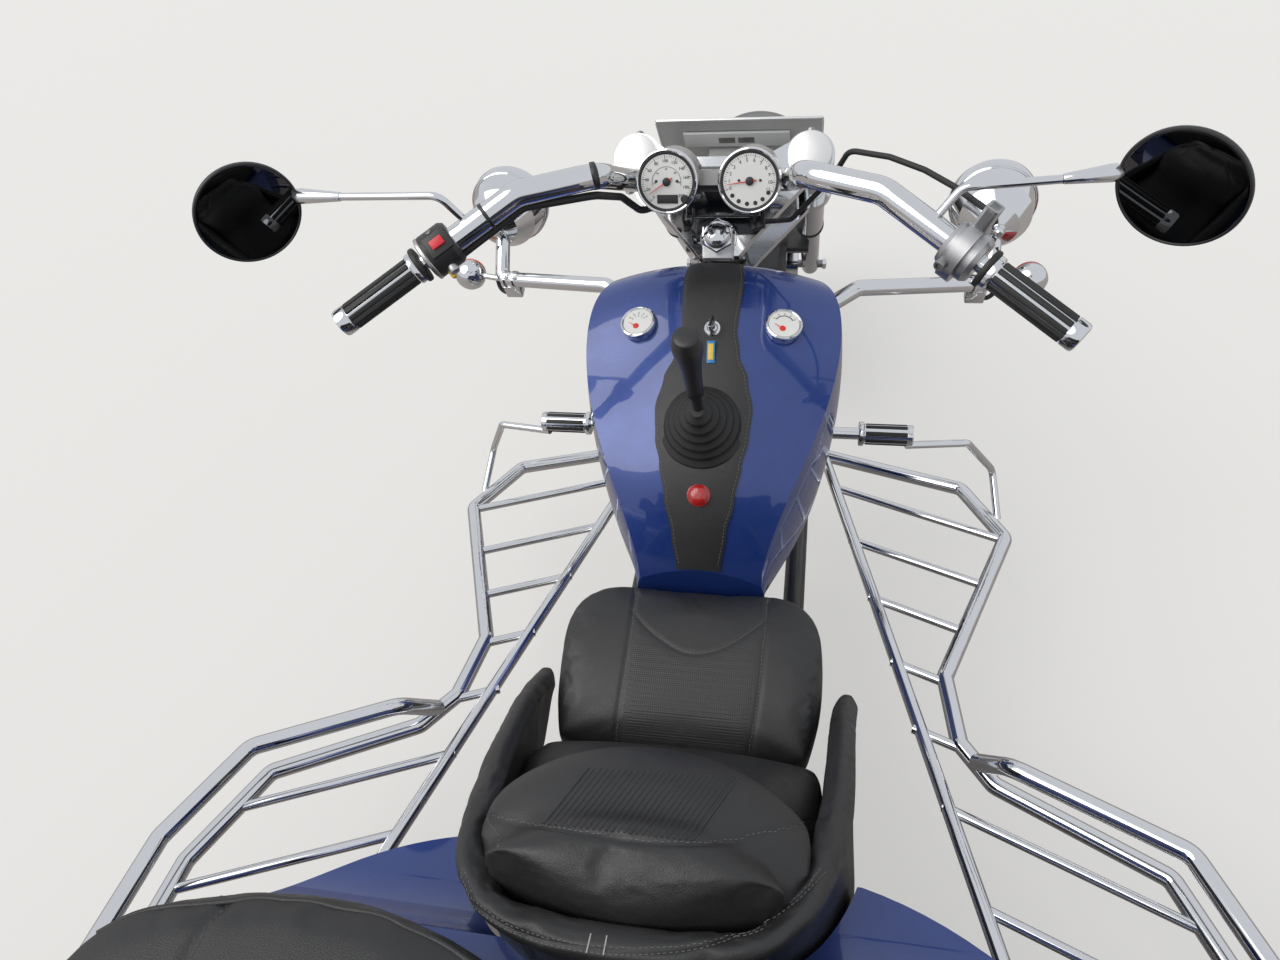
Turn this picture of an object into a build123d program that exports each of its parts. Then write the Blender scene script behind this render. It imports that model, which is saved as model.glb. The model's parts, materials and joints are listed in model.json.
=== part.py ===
from build123d import *
from math import sin, cos, radians
import os

# Motorized trike: one steered front wheel, two driven rear wheels, engine in the tail.
# Millimetres. +Z up, the front of the trike points to -Y, the rider's left is +X,
# and the origin is on the ground under the middle of the whole length.

# Overall size
TAIL_Y = 1770.0
OVERALL_WIDTH = 1800.0

# Wheels
FRONT_TYRE_R = 320.0
FRONT_TYRE_W = 150.0
FRONT_RIM_R = 206.0
REAR_TYRE_R = 330.0
REAR_TYRE_W = 285.0
REAR_RIM_R = 193.0
REAR_TRACK_X = 742.0
FRONT_AXLE_Y = -1391.0
REAR_AXLE_Y = 1205.0
AXLE_R = 10.0
STUB_R = 22.0
RUNNING_FIT = 0.05
BEAD_GAP = 0.2

# Steering: the axis passes through the head nut and leans back by the rake
RAKE = 47.0
HEAD_Y = -585.0
HEAD_Z = 888.0
FORK_OFFSET = 135.0
FORK_HALF_SPACING = 143.0
COVER_R = 28.0
SLIDER_R = 22.0
CAP_R = 35.0
STEM_R = 15.0
HEAD_TUBE_R = 36.0

# Tubes
STEP_TUBE = 28.0
RUNG_TUBE = 16.0
INNER_TUBE = 22.0
HOOP_TUBE = 14.0
BAR_TUBE = 35.0
LAMP_TUBE = 30.0
FRAME_TUBE = 50.0

UP_AXIS = Vector(0, sin(radians(RAKE)), cos(radians(RAKE)))
REARWARD = Vector(0, cos(radians(RAKE)), -sin(radians(RAKE)))
HEAD = Vector(0, HEAD_Y, HEAD_Z)

def fork_point(x, forward, down):
    """A point from the head nut: forward of the steering axis and down along it."""
    return Vector(x, 0, 0) + HEAD - REARWARD * forward - UP_AXIS * down


def tube(points, diameter, bend=None):
    """A round bar along straight runs joined by arcs of one radius."""
    with BuildPart() as bar:
        with BuildLine() as path:
            if bend is None or len(points) < 3:
                Polyline(*points)
            else:
                FilletPolyline(*points, radius=bend)
        with BuildSketch(Plane(path.line @ 0, z_dir=path.line % 0)):
            Circle(diameter / 2)
        sweep(path=path.line)
    return bar.part


def turned(outline, origin, axis):
    """A turned piece: outline lists (along, radius) from the axis out and back."""
    with BuildPart() as piece:
        with BuildSketch(Plane(origin, x_dir=axis, z_dir=side_of(axis))):
            with BuildLine():
                Polyline(*outline, close=True)
            make_face()
        revolve(axis=Axis(origin, axis))
    return piece.part


def side_of(axis):
    """Any direction square to the axis."""
    axis = Vector(*axis)
    other = Vector(0, 0, 1) if abs(axis.Z) < 0.9 else Vector(0, 1, 0)
    return axis.cross(other)


def flipped(points):
    """The same route on the rider's right."""
    return [(-x, y, z) for x, y, z in points]


def save(piece, label):
    piece.part.label = label
    os.makedirs("parts", exist_ok=True)
    export_step(piece.part, "parts/" + label + ".step")


# Wheels

TYRE_FLATS = 90
TYRE_WALL = 6.0
TYRE_SECTIONS = (
    # share of the half width, share of the height from bead to tread
    (0.86, 0.0),
    (1.0, 0.46),
    (0.94, 0.78),
    (0.70, 0.965),
    (0.25, 1.0),
)


def tyre(centre, radius, width, rim_radius):
    """A road tyre in flats round its run: side walls, shoulders and a crown, open at the bead."""
    half = [(share * width / 2, rim_radius + rise * (radius - rim_radius)) for share, rise in TYRE_SECTIONS]
    sections = [(-x, r) for x, r in half] + [(x, r) for x, r in reversed(half)]
    with BuildPart() as piece:
        for x, r in sections:
            with BuildSketch(Plane(Vector(*centre) + Vector(x, 0, 0), x_dir=(0, 1, 0), z_dir=(1, 0, 0))):
                RegularPolygon(r + TYRE_WALL if r == rim_radius else r, TYRE_FLATS)
        loft(ruled=True)
        with BuildSketch(Plane(centre, x_dir=(0, 1, 0), z_dir=(1, 0, 0))):
            RegularPolygon(rim_radius, TYRE_FLATS, major_radius=False)
        extrude(amount=width / 2, both=True, mode=Mode.SUBTRACT)
    return piece


RIM_LIP = 12.0
RIM_DEEP = 26.0
RIM_WINDOWS = 5
RIM_FACE_HALF = 14.0


def rim(centre, rim_radius, width, bore, outboard, hub_radius, hub_half):
    """A cast rim: barrel, five-window face on the outboard side and a bored hub."""
    seat = rim_radius - BEAD_GAP
    half = width / 2
    face = outboard * half * 0.45
    with BuildPart() as piece:
        with BuildSketch(Plane(centre, x_dir=(1, 0, 0), z_dir=(0, -1, 0))):
            with BuildLine():
                Polyline((-half, seat), (half, seat), (half, seat - RIM_LIP), (half * 0.7, seat - RIM_DEEP),
                         (-half * 0.7, seat - RIM_DEEP), (-half, seat - RIM_LIP), close=True)
            make_face()
        revolve(axis=Axis(centre, (1, 0, 0)))
        with BuildSketch(Plane((centre[0] + face, centre[1], centre[2]), x_dir=(0, 1, 0), z_dir=(1, 0, 0))):
            Circle(seat - RIM_DEEP * 0.77)
            with PolarLocations(seat * 0.58, RIM_WINDOWS):
                Circle(seat * 0.24, mode=Mode.SUBTRACT)
        extrude(amount=RIM_FACE_HALF, both=True)
        with BuildSketch(Plane(centre, x_dir=(0, 1, 0), z_dir=(1, 0, 0))):
            Circle(hub_radius)
        extrude(amount=hub_half, both=True)
        with BuildSketch(Plane(centre, x_dir=(0, 1, 0), z_dir=(1, 0, 0))):
            Circle(bore)
        extrude(amount=width, both=True, mode=Mode.SUBTRACT)
    return piece


HUB_R = 38.0
HUB_HALF = 112.0
REAR_HUB_R = 52.0
REAR_HUB_HALF = 88.0
DISC_R = 148.0
DISC_X = 94.0
DISC_THICK = 6.0
FRONT_CENTRE = (0, FRONT_AXLE_Y, FRONT_TYRE_R)

save(tyre(FRONT_CENTRE, FRONT_TYRE_R, FRONT_TYRE_W, FRONT_RIM_R), "front_tyre")
front_rim = rim(FRONT_CENTRE, FRONT_RIM_R, FRONT_TYRE_W * 0.84, AXLE_R + RUNNING_FIT, 0, HUB_R, HUB_HALF)
save(front_rim, "front_rim")

with BuildPart() as brake_disc:
    disc_face = (DISC_X - DISC_THICK / 2, FRONT_AXLE_Y, FRONT_TYRE_R)
    with BuildSketch(Plane(disc_face, x_dir=(0, 1, 0), z_dir=(1, 0, 0))):
        Circle(DISC_R)
        Circle(HUB_R + BEAD_GAP, mode=Mode.SUBTRACT)
        with PolarLocations(DISC_R * 0.48, 6):
            Circle(16, mode=Mode.SUBTRACT)
        with PolarLocations(DISC_R * 0.82, 24):
            Circle(4.5, mode=Mode.SUBTRACT)
    extrude(amount=DISC_THICK)
save(brake_disc, "brake_disc")

for side, name in ((1, "left"), (-1, "right")):
    centre = (side * REAR_TRACK_X, REAR_AXLE_Y, REAR_TYRE_R)
    save(tyre(centre, REAR_TYRE_R, REAR_TYRE_W, REAR_RIM_R), "rear_tyre_" + name)
    bore = STUB_R + RUNNING_FIT
    rear_rim = rim(centre, REAR_RIM_R, REAR_TYRE_W * 0.84, bore, side, REAR_HUB_R, REAR_HUB_HALF)
    save(rear_rim, "rear_rim_" + name)

# Fork

YOKE_THICK = 30.0
YOKE_EAR_R = 40.0
UPPER_YOKE_DOWN = 44.0
LOWER_YOKE_DOWN = 230.0
CAP_DOWN = 14.0
CAP_THICK = 14.0

with BuildPart() as fork_yokes:
    for down in (UPPER_YOKE_DOWN, LOWER_YOKE_DOWN):
        plate = Plane(fork_point(0, 0, down), x_dir=(1, 0, 0), z_dir=UP_AXIS)
        with BuildSketch(plate):
            with BuildLine():
                Polyline((-34, 28), (34, 28), (56, 0), (FORK_HALF_SPACING, -FORK_OFFSET + YOKE_EAR_R),
                         (FORK_HALF_SPACING, -FORK_OFFSET - YOKE_EAR_R),
                         (70, -FORK_OFFSET), (-70, -FORK_OFFSET),
                         (-FORK_HALF_SPACING, -FORK_OFFSET - YOKE_EAR_R),
                         (-FORK_HALF_SPACING, -FORK_OFFSET + YOKE_EAR_R), (-56, 0), close=True)
            make_face()
            with Locations((-FORK_HALF_SPACING, -FORK_OFFSET), (FORK_HALF_SPACING, -FORK_OFFSET)):
                Circle(YOKE_EAR_R)
                Circle(COVER_R + 0.3, mode=Mode.SUBTRACT)
        extrude(amount=YOKE_THICK / 2, both=True)
    stem = Plane(fork_point(0, 0, LOWER_YOKE_DOWN), z_dir=UP_AXIS)
    with BuildSketch(stem):
        Circle(STEM_R)
    extrude(amount=LOWER_YOKE_DOWN)
    add(turned([(0, 0), (0, 24), (22, 24), (28, 18), (28, 0)],
               fork_point(0, 0, UPPER_YOKE_DOWN - 14), UP_AXIS))
save(fork_yokes, "fork_yokes")

LEG_TOP = fork_point(0, FORK_OFFSET, CAP_DOWN)
LEG_LENGTH = (LEG_TOP.Z - FRONT_TYRE_R) / cos(radians(RAKE))
COVER_LENGTH = LEG_LENGTH * 0.52
LEG_PAST_AXLE = 30.0

fork_legs = []
for side, name in ((1, "left"), (-1, "right")):
    top = fork_point(side * FORK_HALF_SPACING, FORK_OFFSET, CAP_DOWN)
    with BuildPart() as fork_leg:
        add(turned([(0, 0), (0, CAP_R), (CAP_THICK, CAP_R), (CAP_THICK, COVER_R), (COVER_LENGTH, COVER_R),
                    (COVER_LENGTH, SLIDER_R), (LEG_LENGTH + LEG_PAST_AXLE, SLIDER_R),
                    (LEG_LENGTH + LEG_PAST_AXLE, 0)], top, -UP_AXIS))
        with BuildSketch(Plane((side * FORK_HALF_SPACING, FRONT_AXLE_Y, FRONT_TYRE_R), z_dir=(1, 0, 0))):
            Circle(AXLE_R)
        extrude(amount=60, both=True, mode=Mode.SUBTRACT)
    save(fork_leg, "fork_leg_" + name)
    fork_legs.append(fork_leg)

CALIPER_UP = 112.0
CALIPER_BACK = 34.0
CALIPER_GAP = 6.0
CALIPER_CHEEK = 8.0
CALIPER_BODY = 40.0
caliper_at = Vector(DISC_X, FRONT_AXLE_Y, FRONT_TYRE_R) + UP_AXIS * CALIPER_UP + REARWARD * CALIPER_BACK
with BuildPart() as brake_caliper:
    inner_face = caliper_at - Vector(DISC_THICK / 2 + CALIPER_GAP + CALIPER_CHEEK, 0, 0)
    with BuildSketch(Plane(inner_face, x_dir=REARWARD, z_dir=(1, 0, 0))):
        RectangleRounded(76, 96, 18)
    extrude(amount=DISC_THICK / 2 + CALIPER_GAP + CALIPER_CHEEK + CALIPER_BODY)
    with BuildSketch(Plane(caliper_at, x_dir=REARWARD, z_dir=(1, 0, 0))):
        with Locations((-12, -14)):
            Rectangle(100, 100)
    extrude(amount=DISC_THICK / 2 + CALIPER_GAP, both=True, mode=Mode.SUBTRACT)
    add(fork_legs[0].part, mode=Mode.SUBTRACT)
save(brake_caliper, "brake_caliper")

with BuildPart() as front_axle:
    with BuildSketch(Plane(FRONT_CENTRE, z_dir=(1, 0, 0))):
        Circle(AXLE_R)
    extrude(amount=FORK_HALF_SPACING + SLIDER_R + 12, both=True)
save(front_axle, "front_axle")

# Handlebar and what it carries

BAR_BEND = Vector(240, -352, 1090)
BAR_END = Vector(478, -200, 977)
BAR_KNEE = Vector(140, -404, 1088)
BAR_FOOT = Vector(118, -618, 966)
BAR_BEND_R = 48.0
HOUSING_FROM = 104.0
HOUSING_LENGTH = 46.0
HOUSING_R = 31.0
COLLAR_R = 40.0
BLOCK_REACH = 39.0
GRIP_FROM = 158.0
GRIP_LENGTH = 142.0
GRIP_CORE_R = 11.0
GRIP_R = 18.0
RISER_R = 19.0
RISER_X = 60.0
RISER_FORWARD = 79.5
RISER_LENGTH = 58.0
CLAMP_R = 26.0
CLAMP_HALF = 19.0

grip_way = (BAR_END - BAR_BEND).normalized()


def bar_point(side, distance):
    """A point on the outer run of the handlebar, measured from its bend."""
    point = BAR_BEND + grip_way * distance
    return Vector(side * point.X, point.Y, point.Z)


def outward(side):
    return Vector(side * grip_way.X, grip_way.Y, grip_way.Z)


with BuildPart() as handlebar:
    start = bar_point(1, HOUSING_FROM + HOUSING_LENGTH)
    half = [(start.X, start.Y, start.Z), tuple(BAR_BEND), tuple(BAR_KNEE), tuple(BAR_FOOT)]
    add(tube(half + flipped(reversed(half)), BAR_TUBE, BAR_BEND_R))
    for side in (1, -1):
        add(turned([(0, 0), (0, GRIP_CORE_R), (GRIP_LENGTH + 10, GRIP_CORE_R), (GRIP_LENGTH + 10, 0)],
                   bar_point(side, GRIP_FROM - 12), outward(side)))
        foot = fork_point(side * RISER_X, RISER_FORWARD, UPPER_YOKE_DOWN - YOKE_THICK / 2 - 0.2)
        add(turned([(0, 0), (0, RISER_R + 4), (10, RISER_R + 4), (10, RISER_R), (RISER_LENGTH, RISER_R),
                    (RISER_LENGTH, 0)], foot, UP_AXIS))
        add(turned([(-CLAMP_HALF, 0), (-CLAMP_HALF, CLAMP_R), (CLAMP_HALF, CLAMP_R), (CLAMP_HALF, 0)],
                   Vector(side * RISER_X, BAR_FOOT.Y, BAR_FOOT.Z), (1, 0, 0)))
save(handlebar, "handlebar")

for side, name in ((1, "left"), (-1, "right")):
    with BuildPart() as grip:
        bore = GRIP_CORE_R + 0.1
        add(turned([(0, bore), (0, GRIP_R + 7), (7, GRIP_R + 7), (7, GRIP_R + 3), (16, GRIP_R + 3),
                    (16, GRIP_R), (GRIP_LENGTH - 18, GRIP_R), (GRIP_LENGTH - 18, GRIP_R + 1.6),
                    (GRIP_LENGTH - 4, GRIP_R + 1.6), (GRIP_LENGTH, GRIP_R - 3), (GRIP_LENGTH, bore)],
                   bar_point(side, GRIP_FROM), outward(side)))
    save(grip, "grip_" + name)

housings = {}
for side, name in ((1, "switch_housing"), (-1, "throttle_housing")):
    with BuildPart() as housing:
        bore = BAR_TUBE / 2 + 0.1
        add(turned([(0, bore), (0, HOUSING_R - 4), (6, HOUSING_R), (HOUSING_LENGTH - 6, HOUSING_R),
                    (HOUSING_LENGTH, HOUSING_R - 4), (HOUSING_LENGTH, bore)],
                   bar_point(side, HOUSING_FROM), outward(side)))
        if side < 0:
            add(turned([(12, bore), (12, COLLAR_R), (30, COLLAR_R), (30, bore)],
                       bar_point(side, HOUSING_FROM), outward(side)))
            block_way = Vector(-0.45, 0.10, 0.85)
            block_way = (block_way - outward(side) * block_way.dot(outward(side))).normalized()
            with BuildSketch(Plane(bar_point(side, HOUSING_FROM + 21.5) + block_way * 28, x_dir=outward(side),
                                   z_dir=block_way)):
                RectangleRounded(18, 24, 4)
            extrude(amount=BLOCK_REACH)
    save(housing, name)
    housings[side] = housing

MIRROR_R = 71.0
MIRROR_STEM = 10.0
MIRROR_TABLE = (
    # name, glass centre, way that the glass faces, stem foot, knee, rim end of the stem
    ("mirror_left", (600, -284, 1101), (-0.676, 0.735, -0.047), (301, -313, 1068), (330, -306, 1113),
     (552, -326, 1101)),
    ("mirror_right", (-559, -291, 1123), (0.542, 0.839, -0.05), (-300, -314, 1069), (-330, -326, 1108),
     (-505, -325, 1123)),
)
for name, centre, way, foot, knee, rim_end in MIRROR_TABLE:
    with BuildPart() as side_mirror:
        add(turned([(0, 0), (0, MIRROR_R - 4), (3, MIRROR_R - 3), (3, MIRROR_R - 1), (-3, MIRROR_R),
                    (-14, MIRROR_R - 12), (-22, 34), (-24, 0)], Vector(*centre), Vector(*way).normalized()))
        add(tube([foot, knee, rim_end], MIRROR_STEM, 14))
        add(handlebar.part, mode=Mode.SUBTRACT)
    save(side_mirror, name)

GAUGE_X = 61.0
GAUGE_Y = -507.0
GAUGE_Z = 1024.0
GAUGE_R = 46.0
GAUGE_TILT = 20.0
GAUGE_DEEP = 86.0
face_way = Vector(0, cos(radians(GAUGE_TILT)), sin(radians(GAUGE_TILT)))
with BuildPart() as gauge_cups:
    for side in (1, -1):
        add(turned([(0, 0), (0, GAUGE_R - 5), (3, GAUGE_R - 5), (5, GAUGE_R), (-12, GAUGE_R),
                    (-14, GAUGE_R - 2), (-GAUGE_DEEP + 14, GAUGE_R - 3), (-GAUGE_DEEP, GAUGE_R - 18),
                    (-GAUGE_DEEP, 0)],
                   Vector(side * GAUGE_X, GAUGE_Y, GAUGE_Z), face_way))
    with BuildSketch(Plane(Vector(0, GAUGE_Y, GAUGE_Z) - face_way * 50, x_dir=(1, 0, 0), z_dir=face_way)):
        Rectangle(2 * GAUGE_X, 22)
    extrude(amount=14, both=True)
    with BuildSketch(Plane(fork_point(0, RISER_FORWARD - 8, -30), x_dir=(1, 0, 0), z_dir=UP_AXIS)):
        Rectangle(44, 12)
    extrude(amount=76)
    add(handlebar.part, mode=Mode.SUBTRACT)
save(gauge_cups, "gauge_cups")

THROTTLE_CABLE = 8.0
THROTTLE_ROUTE = ((-362, -286, 1096), (-348, -330, 1087), (-328, -369, 1085), (-294, -414, 1085),
                  (-251, -451, 1085), (-199, -492, 1075), (-178, -528, 1015), (-120, -560, 930),
                  (-70, -631, 885))
with BuildPart() as throttle_cable:
    add(tube(THROTTLE_ROUTE, THROTTLE_CABLE, 30))
    add(fork_yokes.part, mode=Mode.SUBTRACT)
    add(housings[-1].part, mode=Mode.SUBTRACT)
save(throttle_cable, "throttle_cable")

LOOM = 11.0
LOOM_ROUTE = ((319, -301, 1026), (236, -358, 1066), (144, -398, 1062), (131, -499, 1004), (106, -545, 948),
              (64, -562, 984))
with BuildPart() as switch_loom:
    add(tube(LOOM_ROUTE, LOOM, 26))
    for carrier in (housings[1], handlebar, gauge_cups):
        add(carrier.part, mode=Mode.SUBTRACT)
save(switch_loom, "switch_loom")

PLATE_W = 305.0
PLATE_H = 150.0
PLATE_TILT = 35.0
PLATE_TOP = Vector(-10, -872, 950)
plate_down = Vector(0, -sin(radians(PLATE_TILT)), -cos(radians(PLATE_TILT)))
plate_out = Vector(0, -cos(radians(PLATE_TILT)), sin(radians(PLATE_TILT)))
with BuildPart() as front_plate:
    with BuildSketch(Plane(PLATE_TOP + plate_down * PLATE_H / 2, x_dir=(1, 0, 0), z_dir=plate_out)):
        RectangleRounded(PLATE_W, PLATE_H, 8)
    extrude(amount=3)
    with BuildSketch(Plane(PLATE_TOP + plate_down * PLATE_H * 0.7, x_dir=(1, 0, 0), z_dir=-plate_out)):
        Rectangle(120, 24)
    extrude(amount=120)
    add(fork_yokes.part, mode=Mode.SUBTRACT)
save(front_plate, "front_plate")

FENDER_GAP = 59.0
FENDER_R = FRONT_TYRE_R + FENDER_GAP
FENDER_HALF = 92.0
FENDER_THICK = 5.0
FENDER_CROWN = 30.0
FENDER_SKIRT = 44.0
FENDER_BACK_DEG = 22.0
FENDER_FRONT_DEG = 176.0
back = radians(FENDER_BACK_DEG)
with BuildPart() as front_fender:
    with BuildSketch(Plane(FRONT_CENTRE, x_dir=(1, 0, 0), z_dir=(0, -sin(back), cos(back)))):
        with BuildLine():
            shoulder = FENDER_R - FENDER_CROWN
            inside = FENDER_HALF - FENDER_THICK
            l1 = Line((-FENDER_HALF, shoulder - FENDER_SKIRT), (-FENDER_HALF, shoulder))
            l2 = ThreePointArc(l1 @ 1, (0, FENDER_R), (FENDER_HALF, shoulder))
            l3 = Polyline(l2 @ 1, (FENDER_HALF, shoulder - FENDER_SKIRT), (inside, shoulder - FENDER_SKIRT),
                          (inside, shoulder - FENDER_THICK))
            l4 = ThreePointArc(l3 @ 1, (0, FENDER_R - FENDER_THICK), (-inside, shoulder - FENDER_THICK))
            Polyline(l4 @ 1, (-inside, shoulder - FENDER_SKIRT), l1 @ 0)
        make_face()
    revolve(axis=Axis(FRONT_CENTRE, (1, 0, 0)), revolution_arc=FENDER_FRONT_DEG - FENDER_BACK_DEG)
    bridge = Vector(0, FRONT_AXLE_Y, FRONT_TYRE_R) + UP_AXIS * (shoulder - 20)
    for side in (1, -1):
        start = bridge + Vector(side * (FENDER_HALF - 2), 0, 0)
        with BuildSketch(Plane(start, x_dir=REARWARD, z_dir=(side, 0, 0))):
            RectangleRounded(70, 30, 8)
        extrude(amount=FORK_HALF_SPACING - FENDER_HALF)
    for leg in fork_legs:
        add(leg.part, mode=Mode.SUBTRACT)
save(front_fender, "front_fender")

# Frame

RAIL_X = 150.0
RAIL_Z = 232.0
RAIL_FROM = -800.0
RAIL_TO = 1530.0
CROSS_R = 17.5
TUNNEL_UNDER = RAIL_Z + FRAME_TUBE * 0.4 + 30
BODY_UNDER = 330.0
BODY_X = REAR_TRACK_X - REAR_TYRE_W / 2 - 34.5
POST_TABLE = (
    # x, y, top
    (0, -300, TUNNEL_UNDER),
    (0, 60, TUNNEL_UNDER),
    (RAIL_X, 620, BODY_UNDER),
    (-RAIL_X, 620, BODY_UNDER),
    (RAIL_X, 1040, BODY_UNDER),
    (-RAIL_X, 1040, BODY_UNDER),
)

with BuildPart() as frame:
    stem_bore = STEM_R + RUNNING_FIT
    add(turned([(60, stem_bore), (60, HEAD_TUBE_R), (214, HEAD_TUBE_R), (214, stem_bore)], HEAD, -UP_AXIS))
    neck = fork_point(0, -20, 140)
    for side in (1, -1):
        route = [(side * 20, neck.Y, neck.Z), (side * 110, -648, 480), (side * RAIL_X, RAIL_FROM, RAIL_Z),
                 (side * RAIL_X, RAIL_TO, RAIL_Z)]
        add(tube(route, FRAME_TUBE * 0.8, 60))
    for cross_y in (-690, -300, 60, 620, 1120, 1500):
        with BuildSketch(Plane((0, cross_y, RAIL_Z), z_dir=(1, 0, 0))):
            Circle(CROSS_R)
        extrude(amount=RAIL_X, both=True)
    for x, y, top in POST_TABLE:
        with BuildSketch(Plane((x, y, RAIL_Z))):
            Circle(14)
        extrude(amount=top - 0.2 - RAIL_Z)
    with BuildSketch(Plane(fork_point(0, 0, 137), x_dir=(1, 0, 0), z_dir=UP_AXIS)):
        Circle(STEM_R + RUNNING_FIT)
    extrude(amount=140, both=True, mode=Mode.SUBTRACT)
save(frame, "frame")

AXLE_TUBE_R = 38.0
with BuildPart() as rear_axle:
    with BuildSketch(Plane((0, REAR_AXLE_Y, REAR_TYRE_R), z_dir=(1, 0, 0))):
        Circle(AXLE_TUBE_R)
    extrude(amount=BODY_X - 7, both=True)
    with BuildSketch(Plane((0, REAR_AXLE_Y, REAR_TYRE_R), z_dir=(1, 0, 0))):
        Circle(STUB_R)
    extrude(amount=REAR_TRACK_X + 95, both=True)
    for side in (1, -1):
        with BuildSketch(Plane((side * RAIL_X, REAR_AXLE_Y, REAR_TYRE_R - 37), z_dir=(0, 0, -1))):
            Rectangle(36, 60)
        extrude(amount=REAR_TYRE_R - 37 - RAIL_Z - FRAME_TUBE * 0.4 - 0.3)
save(rear_axle, "rear_axle")

ENGINE_Y = REAR_AXLE_Y + 195
ENGINE_DEEP = 290.0
ENGINE_BACK_Y = ENGINE_Y + ENGINE_DEEP / 2
with BuildPart() as engine_block:
    with BuildSketch(Plane.XY.offset(RAIL_Z + FRAME_TUBE * 0.4 + 0.3)):
        with Locations((0, ENGINE_Y)):
            RectangleRounded(480, ENGINE_DEEP, 20)
    extrude(amount=290)
save(engine_block, "engine_block")

# Tank and floor

TANK_UNDER_FRONT = 620.0
TANK_UNDER_SLOPE = 0.452
TANK_FRONT_Y = -570.0
TANK_SECTIONS = (
    # y, centre height, crease half width, crease drop, low half width
    (-570, 842, 168, 30, 150),
    (-520, 842, 198, 34, 185),
    (-430, 800, 205, 34, 195),
    (-310, 728, 172, 34, 165),
    (-225, 640, 126, 34, 122),
    (-172, 528, 98, 30, 96),
)


def tank_under(y):
    return TANK_UNDER_FRONT - TANK_UNDER_SLOPE * (y - TANK_FRONT_Y)


with BuildPart() as tank:
    for y, top, crease, drop, low in TANK_SECTIONS:
        with BuildSketch(Plane((0, y, 0), x_dir=(1, 0, 0), z_dir=(0, -1, 0))):
            with BuildLine():
                under = tank_under(y)
                l1 = Line((-low, under), (low, under))
                l2 = ThreePointArc(l1 @ 1, (crease + 4, (under + top - drop) / 2 + 20), (crease, top - drop))
                l3 = ThreePointArc(l2 @ 1, (0, top), (-crease, top - drop))
                ThreePointArc(l3 @ 1, (-crease - 4, (under + top - drop) / 2 + 20), l1 @ 0)
            make_face()
    loft()
save(tank, "tank")

PEG_Y = -532.0
PEG_Z = 508.0
PEG_IN = 253.0
PEG_OUT = 350.0
PEG_R = 18.0
PEG_BAR_R = 11.0
TUNNEL_X = 95.0
PAN_Z = 400.0

with BuildPart() as floor_tunnel:
    with BuildSketch(Plane.YZ):
        with BuildLine():
            Polyline((-560, TUNNEL_UNDER), (-560, tank_under(-560) - 0.3), (-172, tank_under(-172) - 0.3),
                     (-172, PAN_Z), (300, PAN_Z), (300, TUNNEL_UNDER), close=True)
        make_face()
    extrude(amount=TUNNEL_X, both=True)
    with BuildSketch(Plane((0, PEG_Y, PEG_Z), z_dir=(1, 0, 0))):
        Circle(PEG_BAR_R + 0.2)
    extrude(amount=TUNNEL_X, both=True, mode=Mode.SUBTRACT)
save(floor_tunnel, "floor_tunnel")

with BuildPart() as foot_controls:
    with BuildSketch(Plane((0, PEG_Y, PEG_Z), z_dir=(1, 0, 0))):
        Circle(PEG_BAR_R)
    extrude(amount=PEG_OUT - 4, both=True)
    for side in (1, -1):
        add(turned([(0, 0), (0, PEG_R + 3), (9, PEG_R + 3), (9, PEG_R), (PEG_OUT - PEG_IN - 6, PEG_R),
                    (PEG_OUT - PEG_IN, PEG_R - 5), (PEG_OUT - PEG_IN, 0)],
                   Vector(side * PEG_IN, PEG_Y, PEG_Z), Vector(side, 0, 0)))
save(foot_controls, "foot_controls")

# Seats

SEAT_FRONT_Y = -165.0
SEAT_BACK_Y = 104.0
with BuildPart() as rider_cushion:
    with BuildSketch(Plane.XY.offset(PAN_Z + 0.3)):
        with BuildLine():
            l1 = Polyline((-188, SEAT_BACK_Y), (188, SEAT_BACK_Y), (202, -40))
            l2 = TangentArc(l1 @ 1, (110, SEAT_FRONT_Y + 4), tangent=l1 % 1)
            l3 = ThreePointArc(l2 @ 1, (0, SEAT_FRONT_Y), (-110, SEAT_FRONT_Y + 4))
            Line((-188, SEAT_BACK_Y), (-202, -40))
            TangentArc((-202, -40), l3 @ 1, tangent=(-14, -144))
        make_face()
    extrude(amount=130)
    with BuildSketch(Plane.YZ):
        with BuildLine():
            l1 = Polyline((SEAT_FRONT_Y, PAN_Z), (SEAT_FRONT_Y, 462))
            l2 = ThreePointArc(l1 @ 1, (-150, 498), (-112, 511))
            l3 = ThreePointArc(l2 @ 1, (-20, 502), (SEAT_BACK_Y, 456))
            Polyline(l3 @ 1, (SEAT_BACK_Y, PAN_Z), l1 @ 0)
        make_face()
    extrude(amount=220, both=True, mode=Mode.INTERSECT)
save(rider_cushion, "rider_cushion")

BUCKET_X = 250.0
BUCKET_WALL = 40.0
BUCKET_FRONT_Y = -70.0
BUCKET_BACK_Y = 478.0
BUCKET_ROUND = 190.0
BOLSTER = 54.0
BOLSTER_ROUTE = ((230, -34, 425), (230, 40, 548), (230, 235, 678), (216, 325, 736), (172, 400, 778),
                 (90, 446, 786))


def bucket_plan(grow):
    """Plan of the bucket: straight sides and a round back."""
    half = BUCKET_X + grow
    middle = BUCKET_BACK_Y - BUCKET_ROUND
    Polyline((half, middle), (half, BUCKET_FRONT_Y), (-half, BUCKET_FRONT_Y), (-half, middle))
    ThreePointArc((-half, middle), (0, BUCKET_BACK_Y + grow), (half, middle))


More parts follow.
